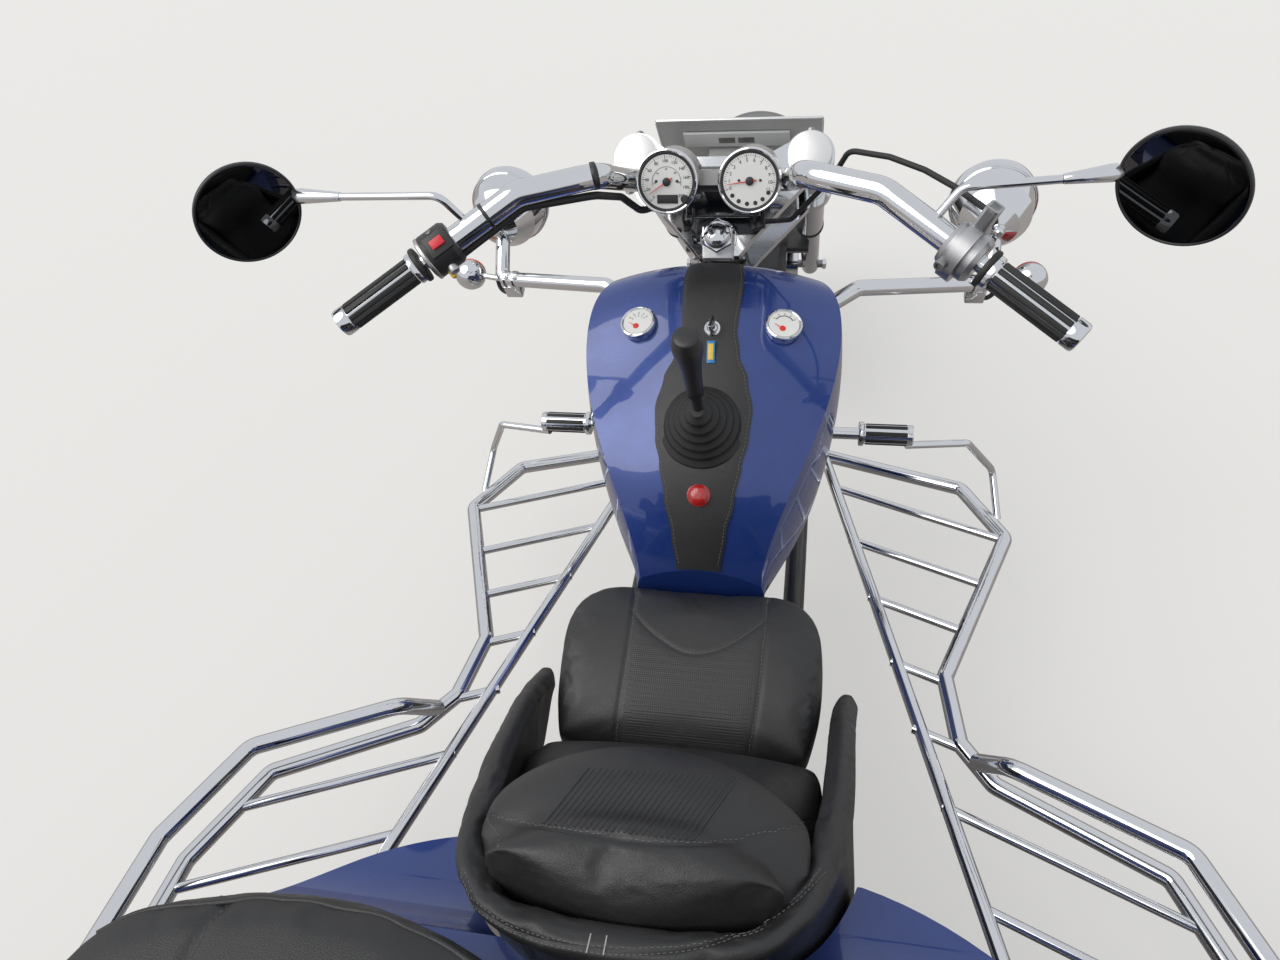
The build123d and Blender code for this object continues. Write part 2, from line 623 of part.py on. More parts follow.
with BuildPart() as rider_bucket:
    with BuildSketch(Plane.XY.offset(PAN_Z + 0.3)):
        with BuildLine():
            bucket_plan(0)
        make_face()
        with BuildLine():
            bucket_plan(-BUCKET_WALL)
        make_face(mode=Mode.SUBTRACT)
    extrude(amount=420)
    with BuildSketch(Plane.YZ):
        with BuildLine():
            Polyline((BUCKET_FRONT_Y, PAN_Z), (BUCKET_FRONT_Y, 430), (40, 552), (240, 682), (400, 782),
                     (480, 788), (480, PAN_Z), close=True)
        make_face()
    extrude(amount=300, both=True, mode=Mode.INTERSECT)
    bolster = list(BOLSTER_ROUTE)
    add(tube(bolster + flipped(reversed(bolster)), BOLSTER, 60))
save(rider_bucket, "rider_bucket")

with BuildPart() as rider_backrest:
    with BuildSketch(Plane.XY.offset(PAN_Z + 0.3)):
        with BuildLine():
            bucket_plan(-BUCKET_WALL - 0.4)
        make_face()
    extrude(amount=420)
    with BuildSketch(Plane.YZ):
        with BuildLine():
            l1 = Polyline((SEAT_BACK_Y + 0.4, PAN_Z), (SEAT_BACK_Y + 0.4, 466))
            l2 = ThreePointArc(l1 @ 1, (160, 540), (212, 690))
            l3 = ThreePointArc(l2 @ 1, (250, 742), (318, 746))
            l4 = ThreePointArc(l3 @ 1, (372, 786), (432, 742))
            Polyline(l4 @ 1, (480, 690), (480, PAN_Z), l1 @ 0)
        make_face()
    extrude(amount=300, both=True, mode=Mode.INTERSECT)
    add(rider_bucket.part, mode=Mode.SUBTRACT)
save(rider_backrest, "rider_backrest")

DECK_Z = 650.0
BENCH_TOP = 772.0
BENCH_BACK_Y = 905.0
BENCH_X = BODY_X - 3
FENDER_TOP_Z = 728.0
REAR_FENDER_OUT = OVERALL_WIDTH / 2
with BuildPart() as bench_cushion:
    with BuildSketch(Plane.XY.offset(DECK_Z + 0.3)):
        with BuildLine():
            l1 = ThreePointArc((0, 494), (75, 488), (136, 468))
            l2 = ThreePointArc(l1 @ 1, (330, 441), (480, 476))
            TangentArc((BENCH_X, 600), l2 @ 1, tangent=(0, -1))
            Polyline((BENCH_X, 600), (BENCH_X, BENCH_BACK_Y), (0, BENCH_BACK_Y), l1 @ 0)
        make_face()
        mirror(about=Plane.YZ)
    extrude(amount=BENCH_TOP - DECK_Z)
    fillet(bench_cushion.faces().sort_by(Axis.Z)[-1].edges(), 26)
save(bench_cushion, "bench_cushion")

ARM_IN = BENCH_X + 0.4
ARM_OUT = BODY_X + 97
ARM_UNDER = 735.0
BACKREST_BACK_Y = BENCH_BACK_Y + 110
with BuildPart() as bench_backrest:
    with BuildSketch(Plane.XY.offset(DECK_Z + 0.3)):
        with BuildLine():
            FilletPolyline((ARM_OUT, 600), (ARM_OUT, BACKREST_BACK_Y), (-ARM_OUT, BACKREST_BACK_Y),
                           (-ARM_OUT, 600), radius=90)
            Polyline((-ARM_OUT, 600), (-ARM_IN, 600), (-ARM_IN, BENCH_BACK_Y + 0.4),
                     (ARM_IN, BENCH_BACK_Y + 0.4), (ARM_IN, 600), (ARM_OUT, 600))
        make_face()
    extrude(amount=480)
    with BuildSketch(Plane.YZ):
        with BuildLine():
            l1 = Polyline((560, DECK_Z), (560, 800))
            l2 = ThreePointArc(l1 @ 1, (605, 858), (680, 872))
            l3 = Line(l2 @ 1, (850, 885))
            l4 = ThreePointArc(l3 @ 1, (905, 930), (915, 1020))
            l5 = ThreePointArc(l4 @ 1, (940, 1110), (1000, 1122))
            Polyline(l5 @ 1, (1030, 1100), (1030, DECK_Z), l1 @ 0)
        make_face()
    extrude(amount=ARM_OUT + 10, both=True, mode=Mode.INTERSECT)
    top = [edge for edge in bench_backrest.edges() if edge.center().Z > 745]
    fillet(top, 20)
    for side in (1, -1):
        with BuildSketch(Plane((side * (ARM_IN + 70), 800, DECK_Z))):
            Rectangle(140, 600)
        extrude(amount=ARM_UNDER - DECK_Z, mode=Mode.SUBTRACT)
    add(bench_cushion.part, mode=Mode.SUBTRACT)
save(bench_backrest, "bench_backrest")

# Rear body

BODY_FRONT_Y = 300.5
BODY_TAIL_Y = TAIL_Y - 30
COVER_TOP = 800.0
with BuildPart() as rear_body:
    with BuildSketch(Plane.XY.offset(BODY_UNDER)):
        with BuildLine():
            l1 = Line((0, BODY_FRONT_Y), (252, BODY_FRONT_Y))
            l2 = TangentArc((BODY_X, 700), l1 @ 1, tangent=(0, -1))
            l3 = Line((BODY_X, 700), (BODY_X, BODY_TAIL_Y - 180))
            l4 = TangentArc(l3 @ 1, (440, BODY_TAIL_Y), tangent=(0, 1))
            Polyline(l4 @ 1, (0, BODY_TAIL_Y), l1 @ 0)
        make_face()
        mirror(about=Plane.YZ)
        with BuildLine():
            bucket_plan(0.6)
        make_face(mode=Mode.SUBTRACT)
    extrude(amount=COVER_TOP - BODY_UNDER)
    with BuildSketch(Plane.YZ):
        with BuildLine():
            l1 = Polyline((BODY_FRONT_Y - 10, BODY_UNDER), (BODY_FRONT_Y - 10, 545), (360, 560))
            l2 = ThreePointArc(l1 @ 1, (400, 580), (440, DECK_Z))
            l3 = Polyline(l2 @ 1, (BACKREST_BACK_Y + 0.6, DECK_Z), (BACKREST_BACK_Y + 0.6, 790))
            l4 = ThreePointArc(l3 @ 1, (BODY_TAIL_Y - 390, 780), (BODY_TAIL_Y - 140, 700))
            l5 = ThreePointArc(l4 @ 1, (BODY_TAIL_Y - 50, 630), (BODY_TAIL_Y + 10, 500))
            Polyline(l5 @ 1, (BODY_TAIL_Y + 10, BODY_UNDER), l1 @ 0)
        make_face()
    extrude(amount=BODY_X + 20, both=True, mode=Mode.INTERSECT)
    fillet([edge for edge in rear_body.edges() if edge.center().Y > 1100 and edge.center().Z > 400], 40)
    with BuildSketch(Plane.XY.offset(BODY_UNDER)):
        with Locations((0, ENGINE_Y)):
            Rectangle(620, 480)
    extrude(amount=240, mode=Mode.SUBTRACT)
    with BuildSketch(Plane.XY.offset(BODY_UNDER)):
        with Locations((0, REAR_AXLE_Y)):
            Rectangle(2 * BODY_X + 20, 110)
    extrude(amount=70, mode=Mode.SUBTRACT)
save(rear_body, "rear_body")

# Rear fenders: side, plan and cross-section, each extruded, and what is common to all three

ARCH_R = REAR_TYRE_R + 24
PONTOON_FRONT_Y = REAR_AXLE_Y - 657
PONTOON_BACK_Y = REAR_AXLE_Y + 485
PONTOON_UNDER = 310.0
PONTOON_TOP = 752.0
SHOULDER_R = 120.0
rear_fenders = {}
for side, name in ((1, "left"), (-1, "right")):
    with BuildPart() as rear_fender:
        with BuildSketch(Plane.YZ.offset(side * (BODY_X + 0.4))):
            with BuildLine():
                l1 = Line((PONTOON_FRONT_Y, PONTOON_UNDER), (PONTOON_FRONT_Y, 500))
                l2 = TangentArc(l1 @ 1, (PONTOON_FRONT_Y + 152, 690), tangent=(0, 1))
                l3 = TangentArc(l2 @ 1, (REAR_AXLE_Y + 45, FENDER_TOP_Z), tangent=l2 % 1)
                l4 = TangentArc(l3 @ 1, (PONTOON_BACK_Y, PONTOON_UNDER + 60), tangent=l3 % 1)
                Polyline(l4 @ 1, (PONTOON_BACK_Y, PONTOON_UNDER), l1 @ 0)
            make_face()
            with Locations((REAR_AXLE_Y, REAR_TYRE_R)):
                Circle(ARCH_R, mode=Mode.SUBTRACT)
            with Locations((REAR_AXLE_Y, PONTOON_UNDER)):
                Rectangle(2 * ARCH_R - 8, 60, mode=Mode.SUBTRACT)
        extrude(amount=side * (REAR_FENDER_OUT - BODY_X - 0.4))
        with BuildSketch(Plane.XY.offset(PONTOON_UNDER - 10)):
            with BuildLine():
                out = side * REAR_FENDER_OUT
                l1 = Line((side * BODY_X, PONTOON_FRONT_Y), (side * 760, PONTOON_FRONT_Y))
                l2 = TangentArc((out, PONTOON_FRONT_Y + 272), l1 @ 1, tangent=(0, -1))
                l3 = Line((out, PONTOON_FRONT_Y + 272), (out, PONTOON_BACK_Y - 210))
                l4 = TangentArc(l3 @ 1, (side * 740, PONTOON_BACK_Y), tangent=(0, 1))
                Polyline(l4 @ 1, (side * BODY_X, PONTOON_BACK_Y), l1 @ 0)
            make_face()
        extrude(amount=500, mode=Mode.INTERSECT)
        with BuildSketch(Plane.XZ.offset(-PONTOON_BACK_Y - 10)):
            with BuildLine():
                out = side * (REAR_FENDER_OUT + 1)
                l1 = Polyline((side * BODY_X, 300), (out, 300), (out, PONTOON_TOP - SHOULDER_R))
                l2 = TangentArc(l1 @ 1, (side * (REAR_FENDER_OUT - SHOULDER_R), PONTOON_TOP), tangent=(0, 1))
                Polyline(l2 @ 1, (side * BODY_X, PONTOON_TOP), l1 @ 0)
            make_face()
        extrude(amount=PONTOON_BACK_Y - PONTOON_FRONT_Y + 20, mode=Mode.INTERSECT)
    save(rear_fender, "rear_fender_" + name)
    rear_fenders[side] = rear_fender

# Side steps

STEP_Z = 290.0
STEP_LEVEL_Y = -104.0
STEP_SLOPE = 0.109


def step_point(x, y, lift=0):
    """A point on the plane of the side step, which rises towards the tail."""
    return (x, y, STEP_Z + STEP_SLOPE * (y - STEP_LEVEL_Y) + lift)


OUTER_ROUTE = ((RAIL_X, -785), (485, -675), (556, -528), (413, -170), (425, -40), (470, 30),
               (690, 148), (750, 310), (752, 570))
INNER_ROUTE = ((196, -780), (505, 530), (535, 640))
RUNG_TABLE = (
    # inner x, inner y, outer x, outer y
    (232, -655, 548, -524),
    (255, -498, 500, -395),
    (290, -345, 452, -277),
    (325, -195, 415, -157),
    (354, -60, 436, -26),
    (390, 75, 709, 215),
    (428, 223, 757, 360),
)
UPPER_LIFT = 86.0
UPPER_ROUTE = (
    # x, y, height over the step's plane
    (447, -8, 0),
    (478, 44, UPPER_LIFT),
    (690, 148, UPPER_LIFT),
    (750, 310, UPPER_LIFT),
    (752, 570, UPPER_LIFT),
)
HOOP_ROUTE = ((548, -585, 238), (535, -665, 300), (455, -570, 460), (340, -532, 484))
for side, name in ((1, "left"), (-1, "right")):
    with BuildPart() as side_step:
        outer = [step_point(side * x, y) for x, y in OUTER_ROUTE]
        add(tube(outer, STEP_TUBE, 22))
        inner = [step_point(side * x, y) for x, y in INNER_ROUTE]
        add(tube(inner, INNER_TUBE))
        for x1, y1, x2, y2 in RUNG_TABLE:
            add(tube([step_point(side * x1, y1), step_point(side * x2, y2)], RUNG_TUBE))
        upper = [step_point(side * x, y, lift) for x, y, lift in UPPER_ROUTE]
        add(tube(upper, STEP_TUBE, 30))
        add(tube([(side * x, y, z) for x, y, z in HOOP_ROUTE], HOOP_TUBE, 20))
        for other in (frame, rear_body, foot_controls, rear_fenders[side]):
            add(other.part, mode=Mode.SUBTRACT)
    save(side_step, "side_step_" + name)

# Lamps

LAMP_X = 495.0
LAMP_Y = -938.0
LAMP_Z = 722.0
LAMP_R = 82.0
headlamps = []
for side, name in ((1, "left"), (-1, "right")):
    with BuildPart() as headlamp:
        add(turned([(0, 0), (0, LAMP_R - 8), (4, LAMP_R), (22, LAMP_R), (26, LAMP_R - 4), (70, LAMP_R * 0.82),
                    (108, LAMP_R * 0.48), (122, 0)],
                   Vector(side * LAMP_X, LAMP_Y - 60, LAMP_Z), Vector(0, 1, 0)))
    save(headlamp, "headlamp_" + name)
    headlamps.append(headlamp)

INDICATOR = Vector(562, -838, 640)
LAMP_BAR_CORNER = Vector(487, -826, 640)
with BuildPart() as lamp_bar:
    half = [(LAMP_X, LAMP_Y + 30, LAMP_Z - 20), tuple(LAMP_BAR_CORNER), (240, -740, 684), (130, -681.4, 640)]
    add(tube(half + flipped(reversed(half)), LAMP_TUBE, 24))
    for lamp in headlamps:
        add(lamp.part, mode=Mode.SUBTRACT)
    add(frame.part, mode=Mode.SUBTRACT)
save(lamp_bar, "lamp_bar")

for side, name in ((1, "left"), (-1, "right")):
    centre = Vector(side * INDICATOR.X, INDICATOR.Y, INDICATOR.Z)
    with BuildPart() as indicator:
        add(turned([(0, 0), (0, 26), (10, 32), (34, 32), (46, 24), (56, 0)],
                   centre + Vector(0, -30, 0), Vector(0, 1, 0)))
        add(tube([tuple(centre), (side * LAMP_BAR_CORNER.X, LAMP_BAR_CORNER.Y, LAMP_BAR_CORNER.Z)], 12))
        add(lamp_bar.part, mode=Mode.SUBTRACT)
    save(indicator, "indicator_" + name)

# Small controls on the tank

with BuildPart() as gear_lever:
    boot_way = Vector(0, 0.52, 0.85).normalized()
    add(turned([(-30, 0), (-30, 70), (6, 70), (6, 56), (20, 54), (22, 40), (40, 38), (42, 26), (60, 24),
                (64, 9), (64, 0)], Vector(0, -312, 716), boot_way))
    add(tube([(0, -290, 750), (0, -224, 940)], 14))
    add(turned([(-26, 0), (-26, 10), (-10, 18), (8, 18), (18, 10), (20, 0)], Vector(0, -219, 950), boot_way))
    add(tank.part, mode=Mode.SUBTRACT)
save(gear_lever, "gear_lever")

# Small instruments on the tank

TANK_GAUGE_X = 116.0
TANK_GAUGE_Y = -452.0
TANK_GAUGE_R = 29.0
for side, name in ((1, "left"), (-1, "right")):
    with BuildPart() as tank_gauge:
        add(turned([(-30, 0), (-30, TANK_GAUGE_R - 2), (2, TANK_GAUGE_R - 2), (2, TANK_GAUGE_R),
                    (7, TANK_GAUGE_R),
                    (9, TANK_GAUGE_R - 3), (6, TANK_GAUGE_R - 5), (6, 0)],
                   Vector(side * TANK_GAUGE_X, TANK_GAUGE_Y, 805), Vector(side * 0.13, 0.30, 0.94).normalized()))
        add(tank.part, mode=Mode.SUBTRACT)
    save(tank_gauge, "tank_gauge_" + name)

with BuildPart() as warning_button:
    add(turned([(-30, 0), (-30, 18.5), (4, 18.5), (6, 15), (12, 13), (14, 0)],
               Vector(0, -229, 646), Vector(0, 0.72, 0.69).normalized()))
    add(tank.part, mode=Mode.SUBTRACT)
save(warning_button, "warning_button")

# Tail

for side, name in ((1, "left"), (-1, "right")):
    with BuildPart() as tail_lamp:
        depth = TAIL_Y - BODY_TAIL_Y
        add(turned([(0, 0), (0, 52), (depth * 0.4, 52), (depth * 0.5, 46), (depth * 0.8, 32), (depth, 0)],
                   Vector(side * 360, BODY_TAIL_Y, 440), Vector(0, 1, 0)))
    save(tail_lamp, "tail_lamp_" + name)

MUFFLER_R = 52.0
MUFFLER_HALF = 260.0
MUFFLER_Y = ENGINE_BACK_Y + 87
MUFFLER_Z = 262.0
TIP_R = 27.0
with BuildPart() as exhaust:
    add(turned([(-MUFFLER_HALF, 0), (-MUFFLER_HALF, MUFFLER_R - 14), (12 - MUFFLER_HALF, MUFFLER_R),
                (MUFFLER_HALF - 12, MUFFLER_R), (MUFFLER_HALF, MUFFLER_R - 14), (MUFFLER_HALF, 0)],
               Vector(0, MUFFLER_Y, MUFFLER_Z), Vector(1, 0, 0)))
    for side in (1, -1):
        add(tube([(side * 190, MUFFLER_Y, MUFFLER_Z), (side * 190, ENGINE_BACK_Y + 0.2, MUFFLER_Z + 40)], 40))
        add(turned([(0, 0), (0, TIP_R), (130, TIP_R), (130, TIP_R - 3), (70, TIP_R - 3), (70, 0)],
                   Vector(side * 200, MUFFLER_Y, MUFFLER_Z), Vector(0, 1, 0)))
    add(engine_block.part, mode=Mode.SUBTRACT)
save(exhaust, "exhaust")
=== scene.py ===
import bpy
import json
import bmesh
from math import cos, exp, pi, radians, sin
from mathutils import Matrix, Vector, noise
from mathutils.bvhtree import BVHTree
from mathutils.kdtree import KDTree


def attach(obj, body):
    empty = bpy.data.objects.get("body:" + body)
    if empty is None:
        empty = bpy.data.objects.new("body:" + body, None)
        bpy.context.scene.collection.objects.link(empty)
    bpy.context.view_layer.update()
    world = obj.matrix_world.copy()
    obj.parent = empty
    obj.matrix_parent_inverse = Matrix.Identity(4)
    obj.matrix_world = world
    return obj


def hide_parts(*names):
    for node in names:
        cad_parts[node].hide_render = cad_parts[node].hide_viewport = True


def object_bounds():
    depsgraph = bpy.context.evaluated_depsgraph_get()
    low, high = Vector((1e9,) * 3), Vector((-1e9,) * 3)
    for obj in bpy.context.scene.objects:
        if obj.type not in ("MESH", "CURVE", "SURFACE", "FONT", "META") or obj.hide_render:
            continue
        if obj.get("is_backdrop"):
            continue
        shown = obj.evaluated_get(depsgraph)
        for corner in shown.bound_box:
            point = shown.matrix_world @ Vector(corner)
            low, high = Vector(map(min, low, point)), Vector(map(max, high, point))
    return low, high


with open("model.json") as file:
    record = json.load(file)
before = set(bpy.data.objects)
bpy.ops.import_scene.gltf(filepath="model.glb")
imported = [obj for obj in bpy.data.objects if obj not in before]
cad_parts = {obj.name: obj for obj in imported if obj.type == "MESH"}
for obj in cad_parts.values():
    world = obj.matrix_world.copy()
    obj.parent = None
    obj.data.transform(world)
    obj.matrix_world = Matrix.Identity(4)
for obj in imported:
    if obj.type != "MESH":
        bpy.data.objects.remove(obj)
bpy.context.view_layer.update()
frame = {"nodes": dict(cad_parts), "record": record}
nodes = frame["nodes"]

# The camera stands where the photographer stood, over the passenger bench

PHOTO_WIDE_PX = 1280
PHOTO_HIGH_PX = 960
FOCAL_PX = 905
SENSOR_MM = 36.0
CAMERA_AT = Vector((-0.1647, 0.726, 1.673))
CAMERA_RIGHT = Vector((-0.98213, -0.16157, -0.09651))
CAMERA_UP = Vector((0.04937, -0.71604, 0.69631))
CAMERA_WAY = Vector((0.18161, -0.67911, -0.71122))

lens = bpy.data.cameras.new("photo_camera")
lens.sensor_width = SENSOR_MM
lens.lens = SENSOR_MM * FOCAL_PX / PHOTO_WIDE_PX
lens.clip_start = 0.05
lens.clip_end = 60
camera = bpy.data.objects.new("photo_camera", lens)
axes = Matrix((CAMERA_RIGHT, CAMERA_UP, -CAMERA_WAY)).transposed()
camera.matrix_world = Matrix.Translation(CAMERA_AT) @ axes.to_4x4()
bpy.context.scene.collection.objects.link(camera)
bpy.context.scene.camera = camera
bpy.context.scene.view_settings.view_transform = "Standard"

# Working at the bench: small helpers for modelling

DETAIL_SIDES = 48


def clear():
    """Nothing stays selected, and no piece is left open."""
    if bpy.context.object and bpy.context.object.mode != "OBJECT":
        bpy.ops.object.mode_set(mode="OBJECT")
    bpy.ops.object.select_all(action="DESELECT")


def pick(piece):
    clear()
    piece.select_set(True)
    bpy.context.view_layer.objects.active = piece
    return piece


def named(name):
    piece = bpy.context.object
    piece.name = name
    piece.data.name = name
    return piece


def settle(piece):
    """The place of a piece goes into its mesh."""
    pick(piece)
    bpy.ops.object.transform_apply(location=True, rotation=True, scale=True)
    return piece


def stand(piece, origin, up_way, side_way=None):
    """Stands a piece, made about the origin along +Z, at its place."""
    z = Vector(up_way).normalized()
    side = Vector(side_way) if side_way else (Vector((1, 0, 0)) if abs(z.x) < 0.9 else Vector((0, 1, 0)))
    y = z.cross(side).normalized()
    turn = Matrix((y.cross(z), y, z)).transposed()
    piece.data.transform(Matrix.Translation(Vector(origin)) @ turn.to_4x4())
    return piece


def smooth(piece, degrees=35):
    pick(piece)
    bpy.ops.object.shade_smooth_by_angle(angle=radians(degrees))
    return piece


def turned(name, steps, origin=(0, 0, 0), axis=(0, 0, 1), sides=DETAIL_SIDES, degrees=35):
    """A turned piece, pulled up from a disc: steps lists (along, radius)."""
    clear()
    along, radius = steps[0]
    bpy.ops.mesh.primitive_circle_add(vertices=sides, radius=radius, fill_type="NGON", location=(0, 0, 0))
    piece = named(name)
    bpy.ops.object.mode_set(mode="EDIT")
    lift = 0.0
    for next_along, next_radius in steps[1:]:
        rise = next_along - along
        bpy.ops.mesh.extrude_region_move(TRANSFORM_OT_translate={"value": (0, 0, rise)})
        lift += rise
        grow = next_radius / radius
        bpy.ops.transform.resize(value=(grow, grow, 1), center_override=(0, 0, lift))
        along, radius = next_along, next_radius
    bpy.ops.mesh.select_all(action="SELECT")
    bpy.ops.mesh.normals_make_consistent(inside=False)
    bpy.ops.object.mode_set(mode="OBJECT")
    piece.data.transform(Matrix.Translation((0, 0, steps[0][0])))
    return smooth(stand(piece, origin, axis), degrees)


def lathed(name, section, origin, axis, sides=DETAIL_SIDES, degrees=35):
    """A ring turned on the lathe: section is a closed outline of (along, radius)."""
    outline = bpy.data.meshes.new(name)
    count = len(section)
    corners = [(radius, 0, along) for along, radius in section]
    outline.from_pydata(corners, [(k, (k + 1) % count) for k in range(count)], [])
    piece = bpy.data.objects.new(name, outline)
    bpy.context.scene.collection.objects.link(piece)
    pick(piece)
    bpy.ops.object.modifier_add(type="SCREW")
    screw = piece.modifiers[-1]
    screw.steps = screw.render_steps = sides
    screw.use_merge_vertices = True
    bpy.ops.object.modifier_apply(modifier=screw.name)
    bpy.ops.object.mode_set(mode="EDIT")
    bpy.ops.mesh.select_all(action="SELECT")
    bpy.ops.mesh.normals_make_consistent(inside=False)
    bpy.ops.object.mode_set(mode="OBJECT")
    return smooth(stand(piece, origin, axis), degrees)


def block(name, size, origin=(0, 0, 0), up_way=(0, 0, 1), side_way=None, edge=0.001, segments=2):
    """A machined block with broken edges."""
    clear()
    bpy.ops.mesh.primitive_cube_add(size=1, location=(0, 0, 0))
    piece = named(name)
    piece.scale = size
    settle(piece)
    bpy.ops.object.mode_set(mode="EDIT")
    bpy.ops.mesh.select_all(action="SELECT")
    bpy.ops.mesh.bevel(offset=edge, segments=segments)
    bpy.ops.object.mode_set(mode="OBJECT")
    return smooth(stand(piece, origin, up_way, side_way), 40)


def wire(name, points, thick, cyclic=False, kind="NURBS", sides=8):
    """A bent wire or thin tube along its route, made a mesh."""
    line = bpy.data.curves.new(name, "CURVE")
    line.dimensions = "3D"
    run = line.splines.new(kind)
    run.points.add(len(points) - 1)
    for spot, place in zip(run.points, points):
        spot.co = (*place, 1)
    if kind == "NURBS":
        run.order_u = 3
        run.use_endpoint_u = not cyclic
    run.use_cyclic_u = cyclic
    line.bevel_depth = thick / 2
    line.bevel_resolution = sides // 4
    line.use_fill_caps = True
    piece = bpy.data.objects.new(name, line)
    bpy.context.scene.collection.objects.link(piece)
    pick(piece)
    bpy.ops.object.convert(target="MESH")
    return smooth(named(name), 60)


def joined(name, pieces):
    clear()
    for piece in pieces:
        piece.select_set(True)
    bpy.context.view_layer.objects.active = pieces[0]
    if len(pieces) > 1:
        bpy.ops.object.join()
    return named(name)


def dressed(piece, look, body, replaced=()):
    """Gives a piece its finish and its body."""
    piece.data.materials.clear()
    piece.data.materials.append(look)
    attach(piece, body)
    if replaced:
        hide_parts(*replaced)
    return piece


# Finishes


def finish(name, colour, shade=None, metallic=0.0, rough=(0.3, 0.4), patches=14.0, grain=None, coat=0.0,
           sheen=0.0):
    """A procedural finish: colour drifts to its shade, and roughness drifts too.

    Grain is (scale, depth, kind).
    """
    made = bpy.data.materials.new(name)
    made.use_nodes = True
    tree = made.node_tree
    shader = tree.nodes["Principled BSDF"]
    shader.inputs["Metallic"].default_value = metallic
    shader.inputs["Coat Weight"].default_value = coat
    shader.inputs["Coat Roughness"].default_value = 0.04
    shader.inputs["Sheen Weight"].default_value = sheen
    coords = tree.nodes.new("ShaderNodeTexCoord")
    cloud = tree.nodes.new("ShaderNodeTexNoise")
    cloud.inputs["Scale"].default_value = patches
    cloud.inputs["Detail"].default_value = 4
    tree.links.new(coords.outputs["Object"], cloud.inputs["Vector"])
    tone = tree.nodes.new("ShaderNodeMix")
    tone.data_type = "RGBA"
    tone.inputs["A"].default_value = (*colour, 1)
    tone.inputs["B"].default_value = (*(shade or [c * 0.8 for c in colour]), 1)
    tree.links.new(cloud.outputs["Fac"], tone.inputs["Factor"])
    tree.links.new(tone.outputs["Result"], shader.inputs["Base Color"])
    spread = tree.nodes.new("ShaderNodeMapRange")
    spread.inputs["From Min"].default_value = 0.3
    spread.inputs["From Max"].default_value = 0.7
    spread.inputs["To Min"].default_value = rough[0]
    spread.inputs["To Max"].default_value = rough[1]
    tree.links.new(cloud.outputs["Fac"], spread.inputs["Value"])
    tree.links.new(spread.outputs["Result"], shader.inputs["Roughness"])
    if grain:
        scale, depth, kind = grain
        if kind == "cells":
            pattern = tree.nodes.new("ShaderNodeTexVoronoi")
            pattern.feature = "DISTANCE_TO_EDGE"
            height = pattern.outputs["Distance"]
        elif kind == "dots":
            pattern = tree.nodes.new("ShaderNodeTexVoronoi")
            pattern.inputs["Randomness"].default_value = 0.0
            height = pattern.outputs["Distance"]
        else:
            pattern = tree.nodes.new("ShaderNodeTexNoise")
            pattern.inputs["Detail"].default_value = 6
            height = pattern.outputs["Fac"]
        pattern.inputs["Scale"].default_value = scale
        if kind == "brushed":
            stretch = tree.nodes.new("ShaderNodeMapping")
            stretch.inputs["Scale"].default_value = (1, 12, 12)
            tree.links.new(coords.outputs["Object"], stretch.inputs["Vector"])
            tree.links.new(stretch.outputs["Vector"], pattern.inputs["Vector"])
        else:
            tree.links.new(coords.outputs["Object"], pattern.inputs["Vector"])
        bump = tree.nodes.new("ShaderNodeBump")
        bump.inputs["Strength"].default_value = 0.6
        bump.inputs["Distance"].default_value = depth
        tree.links.new(height, bump.inputs["Height"])
        tree.links.new(bump.outputs["Normal"], shader.inputs["Normal"])
    return made


CHROME = finish("chrome", (0.74, 0.75, 0.77), (0.68, 0.69, 0.71), 1.0, (0.05, 0.11), 9)
BRUSHED = finish("brushed_steel", (0.55, 0.54, 0.53), (0.44, 0.43, 0.42), 1.0, (0.24, 0.34), 20,
                 (260, 0.0004, "brushed"))
ALLOY = finish("satin_alloy", (0.52, 0.52, 0.53), (0.43, 0.43, 0.44), 1.0, (0.3, 0.42), 24,
               (900, 0.0002, "noise"))
BLUE = finish("metallic_blue_paint", (0.015, 0.047, 0.235), (0.011, 0.035, 0.180), 0.35, (0.26, 0.34), 30,
              (2600, 0.00006, "noise"), coat=1.0)
BLACK_PAINT = finish("black_frame_paint", (0.012, 0.012, 0.013), (0.02, 0.02, 0.021), 0.0, (0.28, 0.4), 16,
                     coat=0.4)
LEATHER = finish("black_leather", (0.017, 0.017, 0.018), (0.026, 0.026, 0.027), 0.0, (0.36, 0.5), 12,
                 (520, 0.0007, "cells"))
LEATHER_DOTTED = finish("dotted_leather", (0.021, 0.021, 0.022), (0.030, 0.030, 0.031), 0.0, (0.42, 0.55), 12,
                        (330, 0.0014, "dots"))
TYRE_RUBBER = finish("tyre_rubber", (0.016, 0.016, 0.016), (0.028, 0.027, 0.026), 0.0, (0.72, 0.88), 18,
                     (700, 0.0004, "noise"))
GRIP_RUBBER = finish("grip_rubber", (0.012, 0.012, 0.012), (0.02, 0.02, 0.02), 0.0, (0.5, 0.65), 30,
                     (900, 0.0002, "noise"))
PLASTIC = finish("black_plastic", (0.016, 0.016, 0.017), (0.026, 0.026, 0.027), 0.0, (0.32, 0.46), 30,
                 (1400, 0.00015, "noise"))
PLATE = finish("plate_back", (0.50, 0.50, 0.49), (0.42, 0.42, 0.41), 0.2, (0.32, 0.45), 12,
               (800, 0.0001, "noise"))
RED_LENS = finish("red_lens", (0.42, 0.012, 0.012), (0.3, 0.008, 0.008), 0.0, (0.12, 0.2), 30,
                  (300, 0.0006, "cells"), coat=0.8)
AMBER_LENS = finish("amber_lens", (0.75, 0.14, 0.02), (0.6, 0.09, 0.012), 0.0, (0.12, 0.2), 30,
                    (300, 0.0006, "cells"), coat=0.8)
